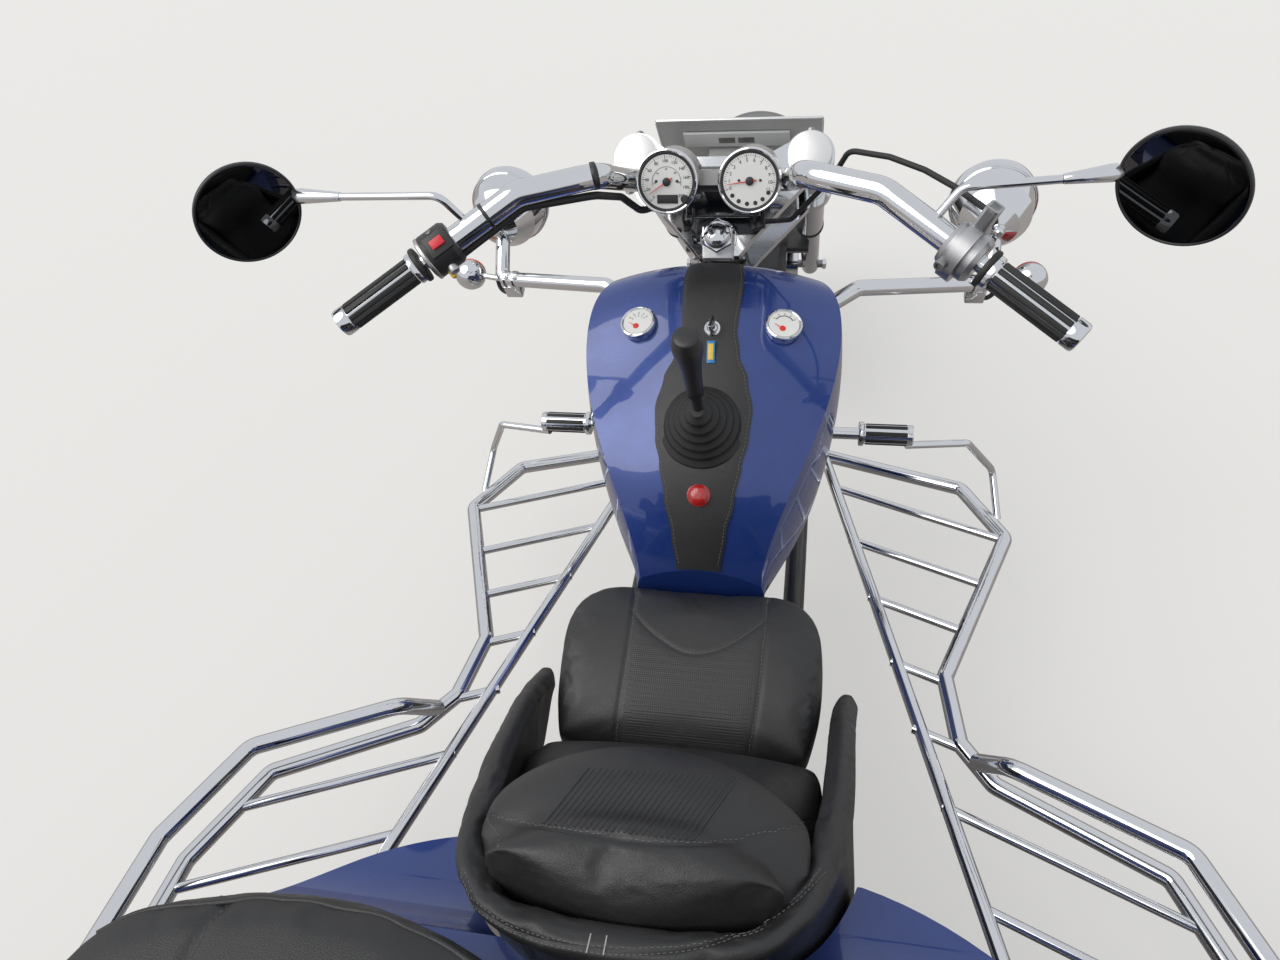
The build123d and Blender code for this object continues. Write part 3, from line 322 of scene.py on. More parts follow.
STEEL = finish("bare_steel", (0.36, 0.36, 0.37), (0.24, 0.24, 0.25), 1.0, (0.3, 0.5), 22,
               (600, 0.0003, "noise"))
DIAL_WHITE = finish("dial_white", (0.72, 0.72, 0.70), (0.66, 0.66, 0.64), 0.0, (0.4, 0.5), 20)
INK = finish("dial_ink", (0.02, 0.02, 0.022), (0.03, 0.03, 0.032), 0.0, (0.5, 0.6), 60)
NEEDLE_RED = finish("needle_red", (0.72, 0.03, 0.02), (0.62, 0.02, 0.015), 0.0, (0.35, 0.45), 60)
# The mirror glass still reflects, but its colour is darkened to a tenth: painted dark reflection of the black
# seats.
MIRROR_GLASS_PAINTED_DARK = finish("mirror_glass", (0.105, 0.107, 0.11), (0.095, 0.097, 0.10), 1.0, (0.01, 0.02), 4)

MACHINED = finish("machined_alloy", (0.78, 0.78, 0.77), (0.68, 0.68, 0.67), 0.75, (0.3, 0.42), 18,
                  (700, 0.0001, "noise"))
DARK_STEEL = finish("dark_brushed_steel", (0.20, 0.195, 0.19), (0.13, 0.127, 0.125), 1.0, (0.26, 0.36), 24,
                    (300, 0.0003, "brushed"))
PANEL_GLOSS = finish("gloss_black_panel", (0.008, 0.009, 0.014), (0.012, 0.013, 0.018), 0.0, (0.08, 0.16),
                     14, coat=1.0)
PALE_BRACKET = finish("pale_bracket", (0.70, 0.71, 0.70), (0.60, 0.61, 0.60), 0.1, (0.35, 0.5), 16)
LAMP_GLASS = finish("lamp_glass", (0.78, 0.80, 0.82), (0.72, 0.75, 0.78), 0.35, (0.05, 0.12), 20, coat=1.0)
THREAD = finish("seam_thread", (0.10, 0.10, 0.10), (0.16, 0.16, 0.155), 0.0, (0.6, 0.75), 90)
THREAD_WHITE = finish("pale_thread", (0.42, 0.41, 0.39), (0.34, 0.33, 0.31), 0.0, (0.6, 0.75), 90)
TAG_BLUE = finish("tag_blue", (0.03, 0.22, 0.52), (0.02, 0.17, 0.42), 0.0, (0.35, 0.45), 60)
TAG_YELLOW = finish("tag_yellow", (0.72, 0.50, 0.05), (0.62, 0.42, 0.04), 0.0, (0.35, 0.5), 60)
SWITCH_RED = finish("switch_red", (0.65, 0.03, 0.04), (0.55, 0.02, 0.03), 0.0, (0.3, 0.4), 60)
MARK_PALE = finish("pale_mark", (0.55, 0.30, 0.30), (0.48, 0.24, 0.24), 0.0, (0.4, 0.5), 60)

SLOT_FINISH = {
    "blue_paint": BLUE,
    "black_paint": BLACK_PAINT,
    "chrome": CHROME,
    "alloy": ALLOY,
    "black_leather": LEATHER,
    "tyre": TYRE_RUBBER,
    "rubber": GRIP_RUBBER,
    "black_plastic": PLASTIC,
    "plate_white": PLATE,
    "red_lens": RED_LENS,
    "amber_lens": AMBER_LENS,
    "steel": STEEL,
}
NODE_FINISH = {"gauge_cups": BRUSHED}
for entry in frame["record"]["subparts"]:
    node = entry["node"]
    nodes[node].data.materials.clear()
    nodes[node].data.materials.append(NODE_FINISH.get(node, SLOT_FINISH[entry["material_slot"]]))


def mm(x, y, z):
    """A point given in millimetres, as in the part's source."""
    return Vector((x, y, z)) / 1000


def surface(piece):
    return BVHTree.FromObject(piece, bpy.context.evaluated_depsgraph_get())


def dropped(tree, x, y, height=2.0):
    """Where a plumb line at x, y first meets the surface, and its normal there."""
    place, normal, _, _ = tree.ray_cast(Vector((x, y, height)), Vector((0, 0, -1)))
    return place, normal


def repeated(name, seed, places):
    """Copies of one small piece at many places, as one mesh. The seed is used up."""
    made = bmesh.new()
    for place in places:
        first = len(made.verts)
        made.from_mesh(seed.data)
        made.verts.ensure_lookup_table()
        bmesh.ops.transform(made, matrix=place, verts=made.verts[first:])
    made.to_mesh(seed.data)
    made.free()
    seed.name = name
    seed.data.name = name
    return seed


def facing(place, along, up):
    """A matrix that stands a small piece at a place, its X along a line and its Z up."""
    z = Vector(up).normalized()
    x = (Vector(along) - z * Vector(along).dot(z)).normalized()
    turn = Matrix((x, z.cross(x), z)).transposed()
    return Matrix.Translation(place) @ turn.to_4x4()


def spaced(points, pitch):
    """Points at an even pitch along a broken line."""
    found, left = [Vector(points[0])], pitch
    for start, end in zip(points, points[1:]):
        start, end = Vector(start), Vector(end)
        run = (end - start).length
        while left <= run:
            found.append(start.lerp(end, left / run))
            left += pitch
        left -= run
    return found


# Padded pieces: a blank cast from the CAD solid, swollen under pressure and then sewn

CLOTH_FRAMES = 10


def blank(node, name, voxel, slim, rounds):
    """The CAD solid as one closed skin, a little slimmer, ready to swell."""
    piece = bpy.data.objects.new(name, nodes[node].data.copy())
    bpy.context.scene.collection.objects.link(piece)
    pick(piece)
    bpy.ops.object.mode_set(mode="EDIT")
    bpy.ops.mesh.select_all(action="SELECT")
    bpy.ops.mesh.remove_doubles(threshold=0.0001)
    bpy.ops.object.mode_set(mode="OBJECT")
    bpy.ops.object.modifier_add(type="REMESH")
    piece.modifiers[-1].mode = "VOXEL"
    piece.modifiers[-1].voxel_size = voxel
    bpy.ops.object.modifier_apply(modifier=piece.modifiers[-1].name)
    bpy.ops.object.mode_set(mode="EDIT")
    bpy.ops.mesh.select_all(action="SELECT")
    bpy.ops.mesh.vertices_smooth(factor=0.5, repeat=rounds)
    bpy.ops.transform.shrink_fatten(value=-slim)
    bpy.ops.object.mode_set(mode="OBJECT")
    return piece


def swollen(piece, most, pressure=4.0):
    """Cloth under pressure crowns the pad. No point moves further than the cap."""
    scene = bpy.context.scene
    rest = [v.co.copy() for v in piece.data.vertices]
    pick(piece)
    bpy.ops.object.modifier_add(type="CLOTH")
    cloth = piece.modifiers[-1]
    cloth.settings.use_pressure = True
    cloth.settings.uniform_pressure_force = pressure
    cloth.settings.effector_weights.gravity = 0
    cloth.point_cache.frame_end = CLOTH_FRAMES
    for step in range(1, CLOTH_FRAMES + 1):
        scene.frame_set(step)
    grown = piece.evaluated_get(bpy.context.evaluated_depsgraph_get())
    places = [v.co.copy() for v in grown.data.vertices]
    piece.modifiers.remove(cloth)
    for vert, start, end in zip(piece.data.vertices, rest, places):
        move = end - start
        if move.length > most:
            move *= most / move.length
        vert.co = start + move
    scene.frame_set(1)
    return piece


def refined(piece):
    pick(piece)
    bpy.ops.object.modifier_add(type="SUBSURF")
    piece.modifiers[-1].levels = 1
    piece.modifiers[-1].render_levels = 1
    bpy.ops.object.modifier_apply(modifier=piece.modifiers[-1].name)
    bpy.ops.object.shade_smooth()
    return piece


def sewn(piece, line, deep, wide):
    """Pulls the skin in along a seam: line is a dense row of points on the skin."""
    tree = KDTree(len(line))
    for count, place in enumerate(line):
        tree.insert(place, count)
    tree.balance()
    ways = [vert.normal.copy() for vert in piece.data.vertices]
    for vert, way in zip(piece.data.vertices, ways):
        _, _, distance = tree.find(vert.co)
        if distance < 3 * wide:
            vert.co -= way * deep * exp(-(distance / wide) ** 2)
    piece.data.update()


def stitch(name):
    """One stitch: a short thread with tapered ends, lying along X."""
    steps = [(-0.0019, 0.0002), (-0.0013, 0.00045), (0.0013, 0.00045), (0.0019, 0.0002)]
    return turned(name, steps, (0, 0, 0), (1, 0, 0), sides=6)


def stitched(name, piece, line, pitch=0.0062, aside=0.0, proud=0.0003):
    """A row of stitches along a line on a pad's skin."""
    skin = surface(piece)
    dots = spaced(line, pitch)
    places = []
    for start, end in zip(dots, dots[1:]):
        along = end - start
        place, normal, _, _ = skin.find_nearest((start + end) / 2)
        if aside:
            shifted = place + normal.cross(along).normalized() * aside
            place, normal, _, _ = skin.find_nearest(shifted)
        places.append(facing(place + normal * proud, along, normal))
    return repeated(name, stitch(name), places)


def laid(piece, plan):
    """A line given in plan, laid on the top of a pad."""
    skin = surface(piece)
    found = []
    for dot in spaced([(x, y, 0) for x, y in plan], 0.002):
        place, _ = dropped(skin, dot.x, dot.y)
        if place:
            found.append(place)
    return found


def thread(piece, colour=None):
    return dressed(piece, colour or THREAD, "chassis")


def eased(value, low, high):
    """Rises from 0 at low to 1 at high, without a corner."""
    share = min(1.0, max(0.0, (value - low) / (high - low)))
    return share * share * (3 - 2 * share)


def warped(piece, move):
    """Every point of a skin goes through one smooth move, as a hand would push a pad into shape."""
    for vert in piece.data.vertices:
        vert.co = move(vert.co)
    piece.data.update()
    return piece


def seen(skin, px, py):
    """The place on a skin that the photograph shows at a pixel, and the normal there."""
    right, up = px - PHOTO_WIDE_PX / 2, PHOTO_HIGH_PX / 2 - py
    way = CAMERA_WAY * FOCAL_PX + CAMERA_RIGHT * right + CAMERA_UP * up
    way.normalize()
    place, normal, _, _ = skin.ray_cast(CAMERA_AT, way)
    if place is None:
        place = skin.find_nearest(CAMERA_AT)[0]
        for _ in range(4):
            place, normal, _, _ = skin.find_nearest(CAMERA_AT + way * (place - CAMERA_AT).dot(way))
    return place, normal


def eased_between(p, q, r, s, t):
    """A smooth value from q to r, led by the values before and after them."""
    square = (2 * p - 5 * q + 4 * r - s) * t * t
    cube = (3 * q - p - 3 * r + s) * t ** 3
    return 0.5 * (2 * q + (r - p) * t + square + cube)


def eased_line(dots, steps=14):
    """A smooth line through a few given dots."""
    ends = [dots[0], *dots, dots[-1]]
    line = []
    for a, b, c, d in zip(ends, ends[1:], ends[2:], ends[3:]):
        for step in range(steps):
            line.append(tuple(eased_between(*four, step / steps) for four in zip(a, b, c, d)))
    return line + [tuple(dots[-1])]


def drawn(piece, dots, lift=0.0):
    """A line drawn on a pad where the photograph shows it; dots are photo pixels."""
    skin = surface(piece)
    found = []
    for px, py in eased_line(dots):
        place, normal = seen(skin, px, py)
        found.append(place + normal * lift)
    return found


def seam(name, piece, line, deep=0.0022, wide=0.0035, pitch=0.0060, aside=0.0, colour=None):
    """A seam pulls the skin in, and its thread runs along it."""
    sewn(piece, line, deep, wide)
    return thread(stitched(name, piece, line, pitch, aside), colour)


def pad(node, name, voxel, slim, most, rounds=6, move=None):
    """A padded piece in place of its CAD node: cast, pushed into shape, swollen and given its leather."""
    piece = blank(node, name, voxel, slim, rounds)
    if move:
        warped(piece, move)
    swollen(piece, most)
    refined(piece)
    dressed(piece, LEATHER, "chassis", (node,))
    return piece


def cushion_form(p):
    """The top of the cushion stands a little higher and further forward."""
    return Vector((p.x, p.y - 0.004 * eased(p.z, 0.44, 0.50), p.z + 0.006 * eased(p.z, 0.44, 0.50)))


def backrest_form(p):
    """The ends of the backrest sweep back, and its top rounds over."""
    high = eased(p.z, 0.50, 0.64)
    front = 1 - eased(p.y, 0.32, 0.43)
    out = p.x / 0.2
    y = p.y + high * front * (0.020 + 0.050 * out * out)
    z = p.z - 0.030 * out ** 4 * eased(p.z, 0.62, 0.74)
    return Vector((p.x * (1 - 0.07 * high) - 0.008 * high, y, z))


# The rim of the bucket as the CAD solid has it, and as the photograph shows it (mm, front end to middle)

RIM_CAD = ((230, -34, 425), (230, 40, 548), (230, 235, 678), (216, 325, 736), (172, 400, 778), (90, 446, 786),
           (0, 446, 786))
RIM_SEEN = ((240, -34, 398), (235, 13, 455), (228, 80, 517), (217, 200, 602), (207, 272, 645),
            (196, 335, 687), (178, 388, 714), (150, 424, 727), (112, 444, 732), (60, 454, 735), (0, 456, 736))
RIM_DOTS = 240
RIM_SLIM = 0.70
RIM_LINE_STEPS = 8


def evenly(dots, count):
    """A broken line cut into a fixed number of equal steps."""
    lengths = [(b - a).length for a, b in zip(dots, dots[1:])]
    total = sum(lengths)
    found = []
    for step in range(count):
        left = total * step / (count - 1)
        for start, end, length in zip(dots, dots[1:], lengths):
            if left <= length:
                break
            left -= length
        found.append(start.lerp(end, min(1.0, left / length)))
    return found


rim_from = evenly([mm(*dot) for dot in RIM_CAD], RIM_DOTS)
rim_to = evenly([mm(*dot) for dot in eased_line(RIM_SEEN, RIM_LINE_STEPS)], RIM_DOTS)
rim_tree = KDTree(RIM_DOTS)
for count, dot in enumerate(rim_from):
    rim_tree.insert(dot, count)
rim_tree.balance()


def bucket_form(p):
    """The rim goes to where the photograph has it, thinner and in one smooth sweep, and the shell follows."""
    side = -1 if p.x < 0 else 1
    folded = Vector((abs(p.x), p.y, p.z))
    centre, count, away = rim_tree.find(folded)
    slimmer = (RIM_SLIM - 1) * (1 - eased(away, 0.030, 0.110))
    follow = 1 - eased(away, 0.040, 0.230)
    moved = folded + (rim_to[count] - rim_from[count]) * follow + (folded - centre) * slimmer
    high = eased(moved.z, 0.46, 0.66)
    return Vector((side * moved.x - 0.006 * high, moved.y, moved.z))


cushion = pad("rider_cushion", "rider_cushion_pad", 0.006, 0.003, 0.010, 14, cushion_form)
backrest = pad("rider_backrest", "rider_backrest_pad", 0.0078, 0.004, 0.012, 22, backrest_form)
bucket = pad("rider_bucket", "rider_bucket_shell", 0.0080, 0.005, 0.006, 12, bucket_form)
bench = pad("bench_cushion", "bench_cushion_pad", 0.0105, 0.004, 0.010)
bench_back = pad("bench_backrest", "bench_backrest_pad", 0.0115, 0.004, 0.010)

# Seams of the rider's seat, drawn where the photograph shows them, in its pixels

CUSHION_SEAM_LEFT_PX = ((636, 578), (635, 595), (631, 625), (625, 665), (618, 710), (613, 752))
CUSHION_SEAM_RIGHT_PX = ((769, 583), (768, 605), (765, 640), (760, 690), (754, 730), (747, 766))
CUSHION_SMILE_PX = ((632, 610), (645, 626), (663, 641), (680, 651), (696, 654), (715, 651), (735, 642),
                    (753, 630), (766, 620))
BACKREST_SEAM_PX = ((472, 802), (488, 815), (512, 822), (545, 826), (590, 834), (640, 841), (690, 843),
                    (740, 839), (785, 830), (812, 822))
RIB_FRONT_PX = ((588, 768), (738, 777))
RIB_BACK_PX = ((543, 824), (692, 841))
RIB_COUNT = 24
RIB_STEPS = 12
RIB_THICK = 0.0030
RIB_END_THICK = 0.0042
RIB_SUNK = 0.0004
RIM_STITCH_PX = ((456, 872), (470, 900), (498, 922), (535, 938), (590, 949), (650, 951), (705, 944),
                 (755, 926), (795, 900), (825, 868))
RIM_MARKS_PX = (((591, 934), (586, 955)), ((607, 936), (603, 957)))

left_line = drawn(cushion, CUSHION_SEAM_LEFT_PX)
right_line = drawn(cushion, CUSHION_SEAM_RIGHT_PX)
smile_line = drawn(cushion, CUSHION_SMILE_PX)
seam("cushion_seam_left", cushion, left_line, aside=0.002)
seam("cushion_seam_right", cushion, right_line, aside=-0.002)
seam("cushion_smile_seam", cushion, smile_line, 0.0016, 0.0030, 0.0055, 0.0015)

INLAY_ACROSS = 44
INLAY_ALONG = 56
INLAY_BACK_PX = ((616, 750), (680, 757), (746, 764))
INLAY_GAP_PX = 3
INLAY_MARGIN = 0.02
INLAY_PROUD = 0.0010
INLAY_SUNK = 0.0004
INLAY_EDGE = 14


def between(line, share):
    """A point part of the way along a broken line of pixels."""
    at = share * (len(line) - 1)
    first = min(int(at), len(line) - 2)
    part = at - first
    return tuple(a + (b - a) * part for a, b in zip(line[first], line[first + 1]))


clear()
bpy.ops.mesh.primitive_grid_add(x_subdivisions=INLAY_ACROSS, y_subdivisions=INLAY_ALONG, size=2)
inlay = named("cushion_inlay")
cushion_skin = surface(cushion)
smile = eased_line(CUSHION_SMILE_PX)
for vert in inlay.data.vertices:
    across, along = (vert.co.x + 1) / 2, (vert.co.y + 1) / 2
    fore_x, fore_y = between(smile, INLAY_MARGIN + (1 - 2 * INLAY_MARGIN) * across)
    aft_x, aft_y = between(INLAY_BACK_PX, across)
    fore_y += INLAY_GAP_PX
    place, normal = seen(cushion_skin, fore_x + (aft_x - fore_x) * along, fore_y + (aft_y - fore_y) * along)
    fade = min(1.0, INLAY_EDGE * min(across, 1 - across, along, 1 - along))
    vert.co = place + normal * (INLAY_PROUD * fade - INLAY_SUNK)
pick(inlay)
bpy.ops.object.shade_smooth()
dressed(inlay, LEATHER_DOTTED, "chassis")

backrest_seam = drawn(backrest, BACKREST_SEAM_PX)
seam("backrest_seam", backrest, backrest_seam, 0.0030, 0.0045, 0.0065, 0.0025)
backrest_skin = surface(backrest)
ribs = []
for rib in range(RIB_COUNT + 1):
    share = rib / RIB_COUNT
    fore, aft = between(RIB_FRONT_PX, share), between(RIB_BACK_PX, share)
    row = []
    for step in range(RIB_STEPS + 1):
        place, normal = seen(backrest_skin, *between((fore, aft), step / RIB_STEPS))
        row.append(tuple(place - normal * RIB_SUNK))
    ribs.append(wire("rib", row, RIB_THICK if rib % RIB_COUNT else RIB_END_THICK, kind="POLY", sides=8))
dressed(joined("backrest_ribs", ribs), LEATHER, "chassis")

CREASE_DEEP = 0.0013
CREASE_WAY = Vector((0, 0.5, 0.85))


def wrinkled(p):
    """Long creases over the fat roll of the backrest."""
    where = eased(p.y, 0.345, 0.385) * eased(p.z, 0.58, 0.66)
    crease = abs(noise.noise(Vector((p.x * 26, p.y * 60, p.z * 60)))) + 0.5 * abs(noise.noise(p * 95))
    return p - CREASE_WAY * where * CREASE_DEEP * crease


warped(backrest, wrinkled)

RIM_STITCH_ASIDE = 0.003
rim_line = drawn(bucket, RIM_STITCH_PX)
for number, aside in enumerate((-RIM_STITCH_ASIDE, RIM_STITCH_ASIDE)):
    seam("rim_stitches_" + str(number + 1), bucket, rim_line, 0.0010, 0.0030, 0.0058, aside)
for number, dots in enumerate(RIM_MARKS_PX):
    line = drawn(bucket, dots, 0.0006)
    mark_thread = wire("rim_thread_" + str(number + 1), [tuple(p) for p in line[::4]], 0.0016)
    thread(mark_thread, THREAD_WHITE)

# Bench: piping along its front edge, and seams in the cushion and the backrest

BENCH_SEAM_X = 0.395
BENCH_SEAM_BOW = 0.012
PIPING_HALF = 0.515
PIPING_STEPS = 56
PIPING_THICK = 0.0060
PIPING_SUNK = 0.0006
BENCH_EDGE_Z = 0.760
BENCH_EDGE_FRONT_Y = 0.44
BENCH_EDGE_BACK_Y = 0.62
BENCH_EDGE_STEP = 0.002
BENCH_BACK_LOW = 0.90
BENCH_BACK_TALL = 0.19
BENCH_BACK_STEPS = 119
bench_skin = surface(bench)
piping = []
for step in range(PIPING_STEPS + 1):
    x = PIPING_HALF * (2 * step / PIPING_STEPS - 1)
    y = BENCH_EDGE_FRONT_Y
    place, normal = dropped(bench_skin, x, y, 1.0)
    while y < BENCH_EDGE_BACK_Y and (place is None or place.z < BENCH_EDGE_Z):
        y += BENCH_EDGE_STEP
        place, normal = dropped(bench_skin, x, y, 1.0)
    piping.append(tuple(place - normal * PIPING_SUNK))
dressed(wire("bench_piping", piping, PIPING_THICK, sides=12), LEATHER, "chassis")
for side, name in ((1, "left"), (-1, "right")):
    x = side * BENCH_SEAM_X
    line = laid(bench, [(x, 0.475), (x + side * BENCH_SEAM_BOW, 0.70), (x, 0.890)])
    seam("bench_seam_" + name, bench, line, 0.0030, 0.0060, 0.0080, 0.003)
    back_skin = surface(bench_back)
    line = []
    for step in range(BENCH_BACK_STEPS + 1):
        z = BENCH_BACK_LOW + BENCH_BACK_TALL * step / BENCH_BACK_STEPS
        place, _, _, _ = back_skin.ray_cast(Vector((x, 0.5, z)), Vector((0, 1, 0)))
        if place:
            line.append(place)
    seam("bench_back_seam_" + name, bench_back, line, 0.0030, 0.0060, 0.0080, 0.003)

# Leather band over the tank

BAND_TABLE = (
    # y, half width
    (-0.566, 0.044), (-0.515, 0.0487), (-0.440, 0.0438), (-0.4035, 0.0507), (-0.3685, 0.0661),
    (-0.328, 0.0760), (-0.290, 0.0725), (-0.261, 0.0639), (-0.227, 0.0548), (-0.1975, 0.0430),
    (-0.1735, 0.0350),
)
BAND_ROWS = 120
BAND_ACROSS = 16
BAND_THICK = 0.0025
tank_skin = surface(nodes["tank"])


def band_half(y):
    """Half width of the band, eased between the table's rows."""
    for (y1, w1), (y2, w2) in zip(BAND_TABLE, BAND_TABLE[1:]):
        if y <= y2:
            share = max(0.0, (y - y1) / (y2 - y1))
            return w1 + (w2 - w1) * share * share * (3 - 2 * share)
    return BAND_TABLE[-1][1]


clear()
bpy.ops.mesh.primitive_grid_add(x_subdivisions=BAND_ACROSS, y_subdivisions=BAND_ROWS, size=2)
band = named("tank_band")
band_start, band_end = BAND_TABLE[0][0], BAND_TABLE[-1][0]
for vert in band.data.vertices:
    y = band_start + (band_end - band_start) * (vert.co.y + 1) / 2
    x = vert.co.x * band_half(y)
    place, normal = dropped(tank_skin, x, y)
    puff = 0.0012 * (1 - abs(vert.co.x) ** 6)
    vert.co = place + normal * (0.0003 + puff)
pick(band)
bpy.ops.object.modifier_add(type="SOLIDIFY")
band.modifiers[-1].thickness = BAND_THICK
band.modifiers[-1].offset = 1
bpy.ops.object.modifier_apply(modifier=band.modifiers[-1].name)
bpy.ops.object.shade_smooth_by_angle(angle=radians(50))
dressed(band, LEATHER, "chassis")
for side, name in ((1, "left"), (-1, "right")):
    edge = []
    for step in range(110):
        y = band_start + 0.004 + (band_end - band_start - 0.006) * step / 109
        place, normal = dropped(tank_skin, side * (band_half(y) - 0.0045), y)
        edge.append(place + normal * BAND_THICK)
    thread(stitched("tank_band_stitches_" + name, band, edge))

# Gear lever

BOOT_FOOT = mm(0, -312, 716)
BOOT_WAY = Vector((0, 0.52, 0.85)).normalized()
BOOT_STEPS = (
    (-0.020, 0.064), (0.000, 0.070), (0.0035, 0.0705), (0.007, 0.068), (0.009, 0.0615), (0.014, 0.0585),
    (0.0165, 0.0590), (0.0195, 0.0570), (0.0215, 0.0515), (0.027, 0.0495), (0.0295, 0.0500), (0.0325, 0.0480),
    (0.0345, 0.0420), (0.040, 0.0400), (0.0425, 0.0405), (0.0455, 0.0385), (0.0475, 0.0325), (0.053, 0.0305),
    (0.0555, 0.0310), (0.0585, 0.0290), (0.0605, 0.0230), (0.066, 0.0205), (0.0685, 0.0210), (0.0715, 0.0190),
    (0.0745, 0.0120), (0.080, 0.0100),
)
boot = turned("gear_lever_boot", BOOT_STEPS, BOOT_FOOT, BOOT_WAY, sides=72, degrees=60)
dressed(boot, GRIP_RUBBER, "chassis", ("gear_lever",))
KNOB_FOOT = mm(0, -262, 826)
KNOB_TOP = mm(0, -214, 964)
KNOB_STEPS = (
    (-0.060, 0.0075), (-0.004, 0.0080), (0.000, 0.0125), (0.020, 0.0130), (0.050, 0.0138), (0.078, 0.0160),
    (0.098, 0.0190), (0.112, 0.0212), (0.124, 0.0218), (0.134, 0.0205), (0.140, 0.0180), (0.1425, 0.0176),
    (0.1440, 0.0160), (0.1450, 0.0110), (0.1456, 0.0040),
)
knob = turned("gear_lever_knob", KNOB_STEPS, KNOB_FOOT, KNOB_TOP - KNOB_FOOT, sides=56, degrees=60)
dressed(knob, PLASTIC, "chassis")

# Ignition key with a plain tag

KEY_WAY = Vector((0, 0.48, 0.88)).normalized()
KEY_SPOT = mm(-5, -440, 807)
lock = turned("ignition_lock", [
    (-0.004, 0.013), (0.003, 0.0135), (0.0045, 0.0125), (0.0045, 0.0095), (0.003, 0.0085),
    (0.006, 0.0070), (0.0075, 0.0050),
], KEY_SPOT, KEY_WAY)
dressed(lock, CHROME, "chassis")
key = block("ignition_key", (0.0028, 0.020, 0.026), KEY_SPOT + KEY_WAY * 0.021, KEY_WAY, (0.95, -0.2, 0.1),
            0.0012)
dressed(key, PLASTIC, "chassis")
tag_middle, tag_up = dropped(tank_skin, -0.006, -0.404)
tag = block("key_tag", (0.013, 0.036, 0.0022), tag_middle + tag_up * 0.0075, (0, 0.62, 0.78), (1, 0.05, 0),
            0.0009)
dressed(tag, TAG_BLUE, "chassis")
tag_face = block("key_tag_label", (0.0085, 0.026, 0.0008), tag_middle + tag_up * 0.0089, (0, 0.62, 0.78),
                 (1, 0.05, 0),
                 0.0003)
dressed(tag_face, TAG_YELLOW, "chassis")
ring_dots = [tuple(KEY_SPOT + KEY_WAY * 0.026 + Vector((0.007 * cos(a), 0.009 * sin(a) + 0.006, 0.002)))
             for a in [pi * k / 6 for k in range(12)]]
ring = wire("key_ring", ring_dots, 0.0012, cyclic=True)
dressed(ring, CHROME, "chassis")

# Warning button

button_way = Vector((0, 0.72, 0.69)).normalized()
BUTTON_SPOT = mm(0, -229, 646)
dome = turned("warning_button_dome", [
    (0.0, 0.0175), (0.0035, 0.0185), (0.0055, 0.0180), (0.0065, 0.0155), (0.0105, 0.0140),
    (0.0128, 0.0100), (0.0136, 0.0050),
], BUTTON_SPOT, button_way, degrees=50)
dressed(dome, RED_LENS, "chassis", ("warning_button",))
TRIANGLE_R = 0.0058
button_side = Vector((1, 0, 0))
button_up = button_way.cross(button_side)
corners = [BUTTON_SPOT + button_way * 0.0138 + (button_side * cos(a) + button_up * sin(a)) * TRIANGLE_R
           for a in (pi / 2, pi * 7 / 6, pi * 11 / 6)]
mark = wire("warning_triangle", [tuple(c) for c in corners], 0.0008, cyclic=True, kind="POLY")
dressed(mark, MARK_PALE, "chassis")


# Dials: drawn flat with X to the right and Y up, as the rider reads them

RIDER_RIGHT = Vector((-1, 0, 0))


def dial_disc(name, radius, lift):
    return turned(name, [(lift - 0.001, radius), (lift, radius), (lift + 0.0001, radius * 0.02)], sides=64)


def dial_text(name, words, x, y, size, lift):
    clear()
    bpy.ops.object.text_add(location=(0, 0, 0))
    letters = bpy.context.object
    letters.data.body = words
    letters.data.size = size
    letters.data.align_x = "CENTER"
    letters.data.align_y = "CENTER"
    letters.data.extrude = 0.00005
    bpy.ops.object.convert(target="MESH")
    letters = named(name)
    letters.data.transform(Matrix.Translation((x, y, lift)))
    return letters


def dial_bar(name, wide, length, deep=0.0003):
    """A mark whose middle lies at the origin, along Y."""
    return block(name, (wide, length, deep), edge=deep * 0.3, segments=1)


def around(radius, degrees, lift, turn=True):
    """The place of a mark on a dial; it points at the middle."""
    a = radians(degrees)
    place = Matrix.Translation((radius * cos(a), radius * sin(a), lift))
    return place @ Matrix.Rotation(a - pi / 2, 4, "Z") if turn else place


def dial_arc(name, radius, start, end, thick, lift, count=28):
    points = [(radius * cos(radians(start + (end - start) * k / count)),
               radius * sin(radians(start + (end - start) * k / count)), lift) for k in range(count + 1)]
    return wire(name, points, thick, kind="POLY", sides=4)


def dial_needle(name, degrees, length, tail, wide, lift):
    clear()
    bpy.ops.mesh.primitive_cube_add(size=1)
    needle = named(name)
    needle.scale = (wide, length + tail, 0.0008)
    needle.location = (0, (length - tail) / 2, lift)
    settle(needle)
    bpy.ops.object.mode_set(mode="EDIT")
    bpy.ops.mesh.select_all(action="DESELECT")
    bpy.ops.object.mode_set(mode="OBJECT")
    for vert in needle.data.vertices:
        vert.select = vert.co.y > 0
    bpy.ops.object.mode_set(mode="EDIT")
    bpy.ops.transform.resize(value=(0.3, 1, 1), center_override=(0, length, lift))
    bpy.ops.mesh.select_all(action="SELECT")
    bpy.ops.mesh.bevel(offset=0.0001, segments=1)
    bpy.ops.object.mode_set(mode="OBJECT")
    needle.data.transform(Matrix.Rotation(radians(degrees) - pi / 2, 4, "Z"))
    return needle


def dial_figures(name, values, first, last, radius, size, lift):
    """Figures spread evenly along a dial's scale, from one angle to another."""
    figures = []
    for step, value in enumerate(values):
        a = radians(first + (last - first) * step / (len(values) - 1))
        figures.append(dial_text(name, str(value), radius * cos(a), radius * sin(a), size, lift))
    return figures


def set_on_dial(pieces, name, colour, origin, way, body):
    return dressed(stand(joined(name, pieces), origin, way, RIDER_RIGHT), colour, body)


